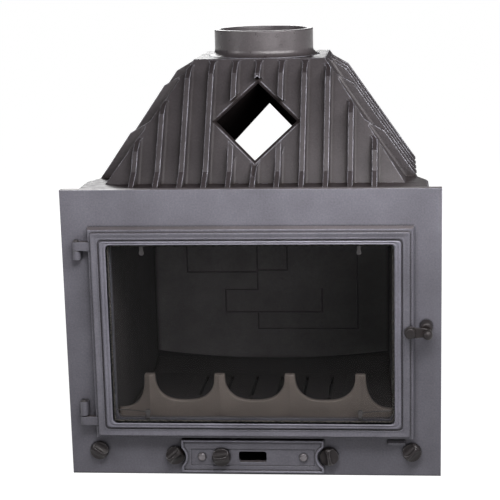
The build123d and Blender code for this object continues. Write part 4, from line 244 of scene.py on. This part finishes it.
def studio_floor(name):
    """Pale seamless paper, lit to white where the camera sees it, that still takes soft shadows."""
    material, tree, output = new_material(name)
    paths = node(tree, "ShaderNodeLightPath")
    seen = node(tree, "ShaderNodeMath", {
        0: paths.outputs["Is Camera Ray"], 1: paths.outputs["Is Glossy Ray"]}, operation="MAXIMUM")
    seen = node(tree, "ShaderNodeMath", {
        0: seen, 1: paths.outputs["Is Transmission Ray"]}, operation="MAXIMUM")
    paper = node(tree, "ShaderNodeBsdfDiffuse", {"Color": linear("#70706E")})
    glow = node(tree, "ShaderNodeEmission", {"Color": linear("#FFFFFF"), "Strength": 0.99})
    both = node(tree, "ShaderNodeAddShader", {0: paper, 1: glow})
    mixed = node(tree, "ShaderNodeMixShader", {"Fac": seen, 1: paper, 2: both})
    tree.links.new(mixed.outputs[0], output.inputs["Surface"])
    return material


# the painted front: frame, ash cover and door, with painted shade in the joints between them
face_iron = painted_cast_iron(
    "graphite_painted_cast_iron", "#68666E", "#4A4444", "#A3A2AE", roughness=0.42, metal=0.05,
    grain_mm=3.2, grain_height_mm=0.3, corner_mm=5, corner_shade_colour="#171211")
# the beads and the cover's lip: a lighter copy of the front paint, a painted highlight
highlighted_bead_iron = painted_cast_iron(
    "bead_cast_iron_painted_highlight", "#74727C", "#7E7C86", "#A3A2AE", roughness=0.4, metal=0.1,
    grain_mm=3.2, grain_height_mm=0.12, corner_mm=4, corner_shade_colour="#171211")
# the door's outer band: the front paint with a lighter painted tone on what faces up
band_iron = painted_cast_iron(
    "leaning_band_cast_iron", "#68666E", "#5C5960", "#A3A2AE", roughness=0.42, metal=0.05,
    grain_mm=3.2, grain_height_mm=0.3, corner_mm=5, corner_shade_colour="#171211")
# the rough castings behind it, with more rubbed edges and a brighter painted highlight on them
hood_iron = painted_cast_iron(
    "rough_sand_cast_iron", "#403C3E", "#272122", "#B4B3BE", roughness=0.45, metal=0.15,
    grain_mm=3.6, grain_height_mm=0.25, wear_and_highlight_amount=0.95, rounding_mm=2.6)
collar_iron = painted_cast_iron(
    "rubbed_collar_cast_iron", "#4B4648", "#302A2B", "#B4B3BE", roughness=0.33, metal=0.2,
    grain_mm=3.6, grain_height_mm=0.3, wear_and_highlight_amount=0.95, sheen=0.5)
# the tunnel's walls: the collar's iron with painted shade darkening them almost to black
tunnel_shaded_iron = painted_cast_iron(
    "tunnel_cast_iron_painted_shade", "#4B4648", "#302A2B", "#B4B3BE", roughness=0.92, metal=0.0,
    grain_mm=3.6, grain_height_mm=0.25, wear_and_highlight_amount=0.9, rounding_mm=2.6, sheen=0.0, tunnel_shade_colour="#1C1818")
# the castings in the fire, bare and dull; the fireback is a lighter copy of the firebox iron, painted light
# where it faces the opening
lit_fireback_iron = painted_cast_iron(
    "fireback_cast_iron_painted_light", "#868183", "#423E3E", "#757173", roughness=0.65, metal=0.1,
    grain_mm=3.4, grain_height_mm=0.4)
fire_iron = painted_cast_iron(
    "bare_firebox_cast_iron", "#4C4849", "#343031", "#5C5859", roughness=0.7, metal=0.1,
    grain_mm=3.4, grain_height_mm=0.4)
guard_iron = painted_cast_iron(
    "warm_brown_cast_iron", "#7C726D", "#6A615D", "#968C88", roughness=0.5, metal=0.1,
    grain_mm=3.2, grain_height_mm=0.25)
knob_iron = painted_cast_iron(
    "turned_cast_iron_knob", "#2D292A", "#221F1E", "#A5A1A4", roughness=0.38, metal=0.3,
    grain_mm=3.0, grain_height_mm=0.12)
rivet_steel = blackened_steel("bright_domed_rivet_steel", "#6E6A6D", 0.35)
steel = blackened_steel("oil_blackened_steel", "#5A5758", 0.4)
sheet = blackened_steel("black_painted_sheet_steel", "#2A2827", 0.6)
fibre = braided_fibre("braided_glass_fibre", "#6E6A64", "#26231F")
rope_fibre = braided_fibre("sooty_twisted_rope", "#56524E", "#141210")
pane = ceramic_glass("clear_glass_ceramic")

FINISH = {
    "front_frame": face_iron, "door_frame": face_iron, "ash_cover": face_iron,
    "latch_keeper": knob_iron, "latch_lever": knob_iron, "latch_ball": knob_iron,
    "latch_pivot_bolt": knob_iron, "cover_knob": knob_iron, "cover_rivets": rivet_steel,
    "hood": hood_iron, "side_panel_left": hood_iron, "side_panel_right": hood_iron,
    "back_panel": hood_iron, "base_plate": hood_iron, "smoke_collar": collar_iron,
    "air_tunnel": tunnel_shaded_iron,
    "log_guard": guard_iron,
    "hearth_bed": fire_iron, "fire_grate": fire_iron, "fireback_plate": lit_fireback_iron,
    "side_liner_left": fire_iron, "side_liner_right": fire_iron, "baffle_plate": fire_iron,
    "ash_chamber": fire_iron, "ash_pan": sheet,
    "hood_gasket": fibre, "frame_gasket": fibre, "glass_gasket": fibre, "door_rope_seal": fibre,
    "door_glass": pane,
}
for name, cad_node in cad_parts.items():
    # the rest are valve knobs, and pins, bolts, screws, clips, spindles and shutters of plain steel
    finish = FINISH.get(name, knob_iron if name.startswith("air_knob") else steel)
    cad_node.data.materials.clear()
    cad_node.data.materials.append(finish)


# ---------------------------------------------------------------- new pieces
def grid_piece(name, points, finish, rides_on, closed_across=False, closed_along=False,
               capped=False):
    """A piece of smooth four-sided faces over points, an array of rows of places in millimetres."""
    rows, columns = points.shape[:2]
    row = np.arange(rows if closed_along else rows - 1)[:, None]
    column = np.arange(columns if closed_across else columns - 1)[None, :]
    next_row, next_column = (row + 1) % rows, (column + 1) % columns
    corners = (row * columns + column, next_row * columns + column,
               next_row * columns + next_column, row * columns + next_column)
    corners = [np.broadcast_to(corner, corners[0].shape).ravel() for corner in corners]
    faces = np.stack(corners, axis=1).tolist()
    if capped:
        last = (rows - 1) * columns
        faces.append(list(range(columns)))
        faces.append(list(range(last + columns - 1, last - 1, -1)))
    mesh = bpy.data.meshes.new(name)
    mesh.from_pydata((points.reshape(-1, 3) * MM).tolist(), [], faces)
    mesh.polygons.foreach_set("use_smooth", np.ones(len(faces), dtype=bool))
    mesh.materials.append(finish)
    piece = bpy.data.objects.new(name, mesh)
    bpy.context.scene.collection.objects.link(piece)
    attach(piece, rides_on)
    return piece


def unit(vectors):
    """The same vectors with length 1."""
    return vectors / np.linalg.norm(vectors, axis=-1, keepdims=True)


# Log guard: half its length, its foot and its posts' height, front and back, and its rounded edges
GUARD_HALF_WIDTH, GUARD_FOOT, GUARD_HEAD = 262.0, 85.0, 190.0
GUARD_FRONT_Y, GUARD_BACK_Y, GUARD_ROUNDING = 24.0, 36.0, 2.6
POSTS = np.array([-200.0, -66.667, 66.667, 200.0])
POST_HALF_WIDTH, POST_CORNER = 10.0, 3.0
# from a post's side to a trough's middle, and from an end post's side to the shoulder
TROUGH_SPAN, TROUGH_DEPTH = 56.667, 52.0
SHOULDER_SPAN, SHOULDER_DEPTH = 52.0, 67.0
TROUGH_POWER = 2.6
# the crease at a post: how far it stands out, and how wide it is at the top and in the body
CREASE_HEIGHT, CREASE_TOP, CREASE_SPREAD = 4.2, 7.0, 20.0
# how far down a post stands free: there the crease starts to spread
POST_FREE_HEIGHT = 30.0


def trough_side(post, side):
    """X and Z from the post's side out to the middle of the trough, or down to the end's shoulder.

    The curve is |x / span|^2.6 + |drop / depth|^2.6 = 1.
    """
    at_end = post == (POSTS[0] if side < 0 else POSTS[-1])
    span, depth = (SHOULDER_SPAN, SHOULDER_DEPTH) if at_end else (TROUGH_SPAN, TROUGH_DEPTH)
    lean = np.linspace(0, np.pi / 2, 40)
    across, down = np.cos(lean) ** (2 / TROUGH_POWER), np.sin(lean) ** (2 / TROUGH_POWER)
    x = post + side * (POST_HALF_WIDTH + span - across * span)
    return np.stack([x, GUARD_HEAD - down * depth], axis=1)


def guard_top_edge():
    """The guard's top edge from left to right, as X and Z: at each post a trough's side, rounded
    corner, flat top, rounded corner and the next trough's side."""
    corner = np.linspace(0, np.pi / 2, 6)[1:]
    out, up = POST_CORNER * np.cos(corner), POST_CORNER * np.sin(corner)
    flat_half = POST_HALF_WIDTH - POST_CORNER
    edge = []
    for index, post in enumerate(POSTS):
        rise = trough_side(post, -1)[::-1]
        flat = np.linspace(post - flat_half, post + flat_half, 12)[1:]
        edge += [rise[1:] if index else rise,
                 np.stack([post - flat_half - out, GUARD_HEAD + up], axis=1),
                 np.stack([flat, np.full(len(flat), GUARD_HEAD + POST_CORNER)], axis=1),
                 np.stack([post + flat_half + up, GUARD_HEAD + out], axis=1),
                 trough_side(post, 1)[1:]]
    edge = np.concatenate(edge)
    # the posts are shortened by their corners' height, so that they end at the guard's head
    free = np.clip((edge[:, 1] - (GUARD_HEAD - POST_FREE_HEIGHT)) / (POST_FREE_HEIGHT + POST_CORNER), 0, 1)
    edge[:, 1] -= POST_CORNER * free
    edge[0, 0], edge[-1, 0] = -GUARD_HALF_WIDTH, GUARD_HALF_WIDTH
    return edge


def guard_crease(x, z):
    """How far the guard's front stands out: e^(-distance to the nearest post / spread) times its height.

    The spread grows and the height falls on the way down into the body.
    """
    away = np.abs(x[..., None] - POSTS).min(axis=-1)
    spread = CREASE_TOP + CREASE_SPREAD * np.clip((GUARD_HEAD - POST_FREE_HEIGHT - z) / 75, 0, 1)
    fade = 0.35 + 0.65 * np.clip((z - GUARD_FOOT) / 60, 0, 1)
    return CREASE_HEIGHT * fade * np.exp(-away / spread)


def log_guard_casting(finish):
    """The log guard: four posts with wide troughs between them, creased upright on each post.

    A closed section runs from end to end: up the creased front, over the top edge with a quarter
    circle front and back, and down the flat back.
    """
    edge = guard_top_edge()
    along = unit(np.gradient(edge, axis=0))
    outward = np.stack([-along[:, 1], along[:, 0]], axis=1)
    inner = edge - outward * GUARD_ROUNDING
    inner[:, 0] = np.clip(inner[:, 0], -GUARD_HALF_WIDTH, GUARD_HALF_WIDTH)
    # only columns that lie further right than all before them
    furthest = np.maximum.accumulate(inner[:, 0])
    kept = np.concatenate([[True], inner[1:, 0] > furthest[:-1] + 0.02])
    inner, outward = inner[kept], outward[kept]

    rows = []
    for share in np.linspace(0, 1, 26):
        z = GUARD_FOOT + (inner[:, 1] - GUARD_FOOT) * share
        rows.append(np.stack([inner[:, 0], GUARD_FRONT_Y - guard_crease(inner[:, 0], z), z], axis=1))
    front_y = rows[-1][:, 1]
    for angle in np.linspace(0, np.pi / 2, 5)[1:]:
        place = inner + outward * GUARD_ROUNDING * np.sin(angle)
        y = front_y + GUARD_ROUNDING * (1 - np.cos(angle))
        rows.append(np.stack([place[:, 0], y, place[:, 1]], axis=1))
    for angle in np.linspace(np.pi / 2, 0, 5):
        place = inner + outward * GUARD_ROUNDING * np.sin(angle)
        y = np.full(len(place), GUARD_BACK_Y - GUARD_ROUNDING * (1 - np.cos(angle)))
        rows.append(np.stack([place[:, 0], y, place[:, 1]], axis=1))
    level = np.ones(len(inner))
    rows.append(np.stack([inner[:, 0], level * GUARD_BACK_Y, level * GUARD_FOOT], axis=1))
    points = np.stack(rows, axis=1)
    points[..., 0] = np.clip(points[..., 0], -GUARD_HALF_WIDTH, GUARD_HALF_WIDTH)
    guard = grid_piece("log_guard_casting", points, finish, "body",
                       closed_across=True, capped=True)
    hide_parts("log_guard")


log_guard_casting(guard_iron)

# Upright rounded rectangles of the door: half width, foot, head and corner radius
OPENING = (264.0, 108.5, 449.5, 7.5)
GROOVE_INNER = (276.5, 99.0, 456.5, 7.5)
GROOVE_OUTER = (279.0, 96.5, 459.5, 7.5)
DOOR_EDGE = (292.0, 83.5, 472.0, 3.0)

# Mouldings as pairs: the share of the way from the first rectangle to the second, and Y.
# From the opening outwards: reveal, inner bead, valley, outer bead, the groove's flank.
BEAD_PROFILE = (
    (0.0, -14.2), (0.0, -22.6), (0.03, -23.6), (0.10, -24.3), (0.20, -24.6), (0.30, -24.3), (0.38, -23.7),
    (0.45, -23.2), (0.52, -23.5), (0.60, -24.1), (0.72, -24.4), (0.84, -24.0), (0.93, -23.2), (0.99, -22.2),
    (1.0, -20.7))
# From the groove outwards: lip, valley, the band that leans in towards the glass, rolled outer edge.
BAND_PROFILE = (
    (0.0, -20.8), (0.01, -22.0), (0.05, -22.6), (0.12, -22.7), (0.2, -22.3), (0.26, -22.15), (0.4, -22.7),
    (0.6, -23.5), (0.8, -24.3), (0.9, -24.6), (0.95, -24.3), (0.975, -23.6), (0.985, -21.0))


def rounded_ring(half, foot, head, corner, per_corner=12, per_side=4):
    """Points round an upright rounded rectangle and their outward normals, in X and Z.

    Four straight sides joined by quarter circles: middle of the corner plus corner times the normal.
    """
    turn = np.linspace(0, np.pi / 2, per_corner)
    share = np.linspace(0, 1, per_side)[1:-1, None]
    right, top, bottom = half - corner, head - corner, foot + corner
    middles = ((right, top), (-right, top), (-right, bottom), (right, bottom))
    places, normals = [], []
    for quarter, middle in enumerate(middles):
        angle = turn + quarter * np.pi / 2
        normal = np.stack([np.cos(angle), np.sin(angle)], axis=1)
        following = np.array(middles[(quarter + 1) % 4])
        straight = np.array(middle) * (1 - share) + following * share
        places += [np.repeat([middle], per_corner, axis=0), straight]
        normals += [normal, np.repeat(normal[-1:], len(straight), axis=0)]
    places, normals = np.concatenate(places), np.concatenate(normals)
    return places + normals * corner, normals


def door_moulding(name, inner, outer, profile, finish):
    """A moulding round the door: its profile carried round the rectangles between inner and outer."""
    rings = []
    for share, y in profile:
        flat, _ = rounded_ring(*((1 - share) * np.array(inner) + share * np.array(outer)))
        rings.append(np.stack([flat[:, 0], np.full(len(flat), y), flat[:, 1]], axis=1))
    points = np.stack(rings[::-1], axis=1)
    return grid_piece(name, points, finish, "door", closed_across=True, closed_along=True)


door_moulding("glass_bead_moulding", OPENING, GROOVE_INNER, BEAD_PROFILE, highlighted_bead_iron)
door_moulding("leaning_door_band", GROOVE_OUTER, DOOR_EDGE, BAND_PROFILE, band_iron)

# Ash cover: its outline, the Y of its border, and how far beyond each end a valve knob stands
COVER_MIDDLE_X, COVER_HALF_WIDTH = -3.3, 134.3
COVER_FOOT, COVER_HEAD, COVER_BORDER_Y = 8.5, 72.5, -15.0
KNOB_Z, KNOB_GAPS = 39.0, {1: 9.8, -1: 13.9}
KNOB_BAY_RADIUS, BAY_ROUNDING = 22.0, 7.0
# the lip: from the outline to its middle, half its width, and how far it stands out
LIP_INSET, LIP_HALF_WIDTH, LIP_RISE = 1.9, 1.8, 1.5


def arc_points(middle, radius, first, last, count):
    """Points on a circle from angle first to last, in degrees."""
    angle = np.radians(np.linspace(first, last, count))
    return np.stack([middle[0] + radius * np.cos(angle), middle[1] + radius * np.sin(angle)], axis=1)


def cover_end(side):
    """One end of the lip's path, from the cover's foot to its head; side is 1 right and -1 left.

    The end bends in round a valve knob: a bay about the knob, joined to the straight edge by a
    rounding above and below. The whole path lies inside the cover's outline by the lip's inset.
    """
    edge = COVER_HALF_WIDTH - LIP_INSET
    knob = (COVER_HALF_WIDTH + KNOB_GAPS[side], KNOB_Z)
    bay, rounding = KNOB_BAY_RADIUS + LIP_INSET, BAY_ROUNDING - LIP_INSET
    across = knob[0] - (edge - rounding)
    rise = math.sqrt((bay + rounding) ** 2 - across ** 2)
    turn = math.degrees(math.atan2(rise, across))
    low, high = COVER_FOOT + LIP_INSET, COVER_HEAD - LIP_INSET
    # the points 2 and 3 mm from a square corner keep the shading crisp there
    path = np.concatenate([
        [(0, low), (edge - 40, low), (edge - 3, low), (edge, low), (edge, low + 2)],
        arc_points((edge - rounding, KNOB_Z - rise), rounding, 0, turn, 8),
        arc_points(knob, bay, 180 + turn, 180 - turn, 24)[1:-1],
        arc_points((edge - rounding, KNOB_Z + rise), rounding, -turn, 0, 8),
        [(edge, high - 2), (edge, high), (edge - 3, high), (edge - 40, high)]])
    return path * (side, 1) + (COVER_MIDDLE_X, 0)


def cover_lip(name, finish):
    """The raised lip round the ash cover: an oval section carried along the path, mitred at corners."""
    path = np.concatenate([cover_end(1), cover_end(-1)[::-1]])[:-1]
    path = path[np.linalg.norm(path - np.roll(path, 1, axis=0), axis=1) > 0.01]
    arriving = unit(path - np.roll(path, 1, axis=0))
    leaving = unit(np.roll(path, -1, axis=0) - path)
    middle = unit(arriving + leaving)
    outward = np.stack([middle[:, 1], -middle[:, 0]], axis=1)
    mitre = outward / np.clip((middle * arriving).sum(axis=1, keepdims=True), 0.5, 1)
    around = np.arange(12) / 12 * 2 * np.pi
    y = COVER_BORDER_Y - LIP_RISE * np.sin(around)
    flat = path[:, None, :] + mitre[:, None, :] * (LIP_HALF_WIDTH * np.cos(around))[None, :, None]
    points = np.stack([flat[..., 0], np.broadcast_to(y, flat.shape[:2]), flat[..., 1]], axis=2)
    return grid_piece(name, points, finish, "ash_drawer", closed_across=True, closed_along=True)


cover_lip("cover_lip_outer", highlighted_bead_iron)

# Rope behind the glass: inside the opening's edge, its Y, radius and the length of one twist
ROPE_INSET, ROPE_Y, ROPE_RADIUS, ROPE_LAY = 2.4, -15.7, 2.0, 17.0


def rope_ring(name, finish):
    """A twisted rope of three strands round the glazed opening.

    The rope's outline is a circle whose radius rises and falls three times round, and the three
    lobes turn a third of the way round for each lay of rope, so each strand is a helix.
    """
    half, foot, head, corner = OPENING
    middle, normals = rounded_ring(half - ROPE_INSET, foot + ROPE_INSET, head - ROPE_INSET,
                                   corner - ROPE_INSET, per_side=500)
    step = np.linalg.norm(np.roll(middle, -1, axis=0) - middle, axis=1)
    travelled = np.concatenate([[0.0], np.cumsum(step)[:-1]])
    twist = travelled / step.sum() * round(step.sum() / ROPE_LAY) * 2 * np.pi
    around = np.arange(12) / 12 * 2 * np.pi
    bulge = ROPE_RADIUS * (0.84 + 0.16 * np.cos(3 * (around[None, :] - twist[:, None] / 3)))
    out = bulge * np.cos(around)
    depth = ROPE_Y + bulge * np.sin(around)
    points = np.stack([middle[:, None, 0] + normals[:, None, 0] * out, depth,
                       middle[:, None, 1] + normals[:, None, 1] * out], axis=2)
    return grid_piece(name, points[:, ::-1], finish, "door", closed_across=True, closed_along=True)


rope_ring("glass_rope", rope_fibre)

# Wire springs at the lower glass clips: they run outwards, climb a little and bow up
SPRING_START_X, SPRING_REACH, SPRING_Y = 195.0, 64.0, -7.2
SPRING_START_Z, SPRING_CLIMB, SPRING_BOW, SPRING_RADIUS = 124.0, 6.0, 1.5, 1.0


def clip_spring(name, side, finish):
    """A round wire in the plane of the door: a circle of ten points carried square to a line that
    bows by half a sine, flat across its ends."""
    share = np.linspace(0, 1, 40)
    path = np.stack([side * (SPRING_START_X + SPRING_REACH * share), np.full(len(share), SPRING_Y),
                     SPRING_START_Z + SPRING_CLIMB * share + SPRING_BOW * np.sin(share * np.pi)], axis=1)
    along = unit(np.gradient(path, axis=0))
    across = unit(np.cross(along, (0.0, 1.0, 0.0)))
    rise = np.cross(along, across)
    around = np.arange(10) / 10 * 2 * np.pi
    section = (across[:, None, :] * np.cos(around)[None, :, None]
               + rise[:, None, :] * np.sin(around)[None, :, None])
    points = path[:, None, :] + SPRING_RADIUS * section
    return grid_piece(name, points[:, ::-1], finish, "door", closed_across=True, capped=True)


clip_spring("clip_spring_left", -1, steel)
clip_spring("clip_spring_right", 1, steel)


# ---------------------------------------------------------------- floor, light and camera
def stage_plane(name, half_size, height):
    """Level square of the studio floor, half_size metres each way from the middle."""
    mesh = bpy.data.meshes.new(name)
    corners = [(-half_size, -half_size, height), (half_size, -half_size, height),
               (half_size, half_size, height), (-half_size, half_size, height)]
    mesh.from_pydata(corners, [], [(0, 1, 2, 3)])
    plane = bpy.data.objects.new(name, mesh)
    bpy.context.scene.collection.objects.link(plane)
    return plane


floor = stage_plane("studio_floor", 30.0, -0.0005)
floor.data.materials.append(studio_floor("pale_paper_floor"))


def soft_lamp(name, place, target, size, power):
    """Large white softbox of width and height size, in metres, at place, turned towards target."""
    lamp = bpy.data.lights.new(name, "AREA")
    lamp.shape = "RECTANGLE"
    lamp.size, lamp.size_y = size
    lamp.energy = power
    made = bpy.data.objects.new(name, lamp)
    bpy.context.scene.collection.objects.link(made)
    away = unit(np.array(place) - np.array(target))
    side = unit(np.cross((0, 0, 1), away))
    turn = np.eye(4)
    turn[:3, 0], turn[:3, 1], turn[:3, 2], turn[:3, 3] = side, np.cross(away, side), away, place
    made.matrix_world = Matrix(turn.tolist())


soft_lamp("key_softbox", place=(0.3, -0.46, 1.1), target=(0.0, 0.0, 0.4), size=(1.5, 0.3), power=20)
soft_lamp("front_softbox", place=(1.5, -2.9, 1.2), target=(0.0, 0.0, 0.3), size=(1.4, 1.0), power=16)
soft_lamp("right_softbox", place=(1.9, -0.3, 1.2), target=(0.0, 0.25, 0.6), size=(0.6, 1.0), power=7)
soft_lamp("back_softbox", place=(-0.7, 3.0, 1.7), target=(0.0, 0.5, 0.4), size=(1.6, 1.2), power=40)
soft_lamp("left_softbox", place=(-1.9, -0.7, 1.3), target=(0.0, 0.2, 0.65), size=(0.8, 1.0), power=12)


def studio_world(name, room_light):
    """A dim pale room round the object, and a white backdrop where the camera sees past it."""
    world = bpy.data.worlds.new(name)
    world.use_nodes = True
    tree = world.node_tree
    tree.nodes.clear()
    output = node(tree, "ShaderNodeOutputWorld")
    paths = node(tree, "ShaderNodeLightPath")
    seen = node(tree, "ShaderNodeMath", {
        0: paths.outputs["Is Camera Ray"], 1: paths.outputs["Is Transmission Ray"]}, operation="MAXIMUM")
    room = node(tree, "ShaderNodeBackground", {"Color": linear("#F4F6FA"), "Strength": room_light})
    backdrop = node(tree, "ShaderNodeBackground", {"Color": linear("#FFFFFF"), "Strength": 1.0})
    mixed = node(tree, "ShaderNodeMixShader", {"Fac": seen, 1: room, 2: backdrop})
    tree.links.new(mixed.outputs[0], output.inputs["Surface"])
    return world


bpy.context.scene.world = studio_world("studio_world", room_light=0.06)

# The photo's camera, found by fitting the frame's corners, the door and the hood's edges together:
# its place in metres, and the directions of its right, up and back.
CAMERA_PLACE = (0.26695, -2.57258, 0.98083)
CAMERA_RIGHT = (0.99718, 0.0728, -0.01832)
CAMERA_UP = (0.00219, 0.21575, 0.97645)
CAMERA_BACK = (0.07504, -0.97373, 0.21498)
camera_data = bpy.data.cameras.new("photo_camera")
camera_data.sensor_width = 36.0
camera_data.lens = 103.75
camera_data.shift_x = -0.0752
camera_data.shift_y = 0.0237
camera_data.clip_end = 100.0
camera = bpy.data.objects.new("photo_camera", camera_data)
bpy.context.scene.collection.objects.link(camera)
view = np.eye(4)
view[:3, 0], view[:3, 1], view[:3, 2] = CAMERA_RIGHT, CAMERA_UP, CAMERA_BACK
view[:3, 3] = CAMERA_PLACE
camera.matrix_world = Matrix(view.tolist())
bpy.context.scene.camera = camera
bpy.context.scene.view_settings.view_transform = "Standard"
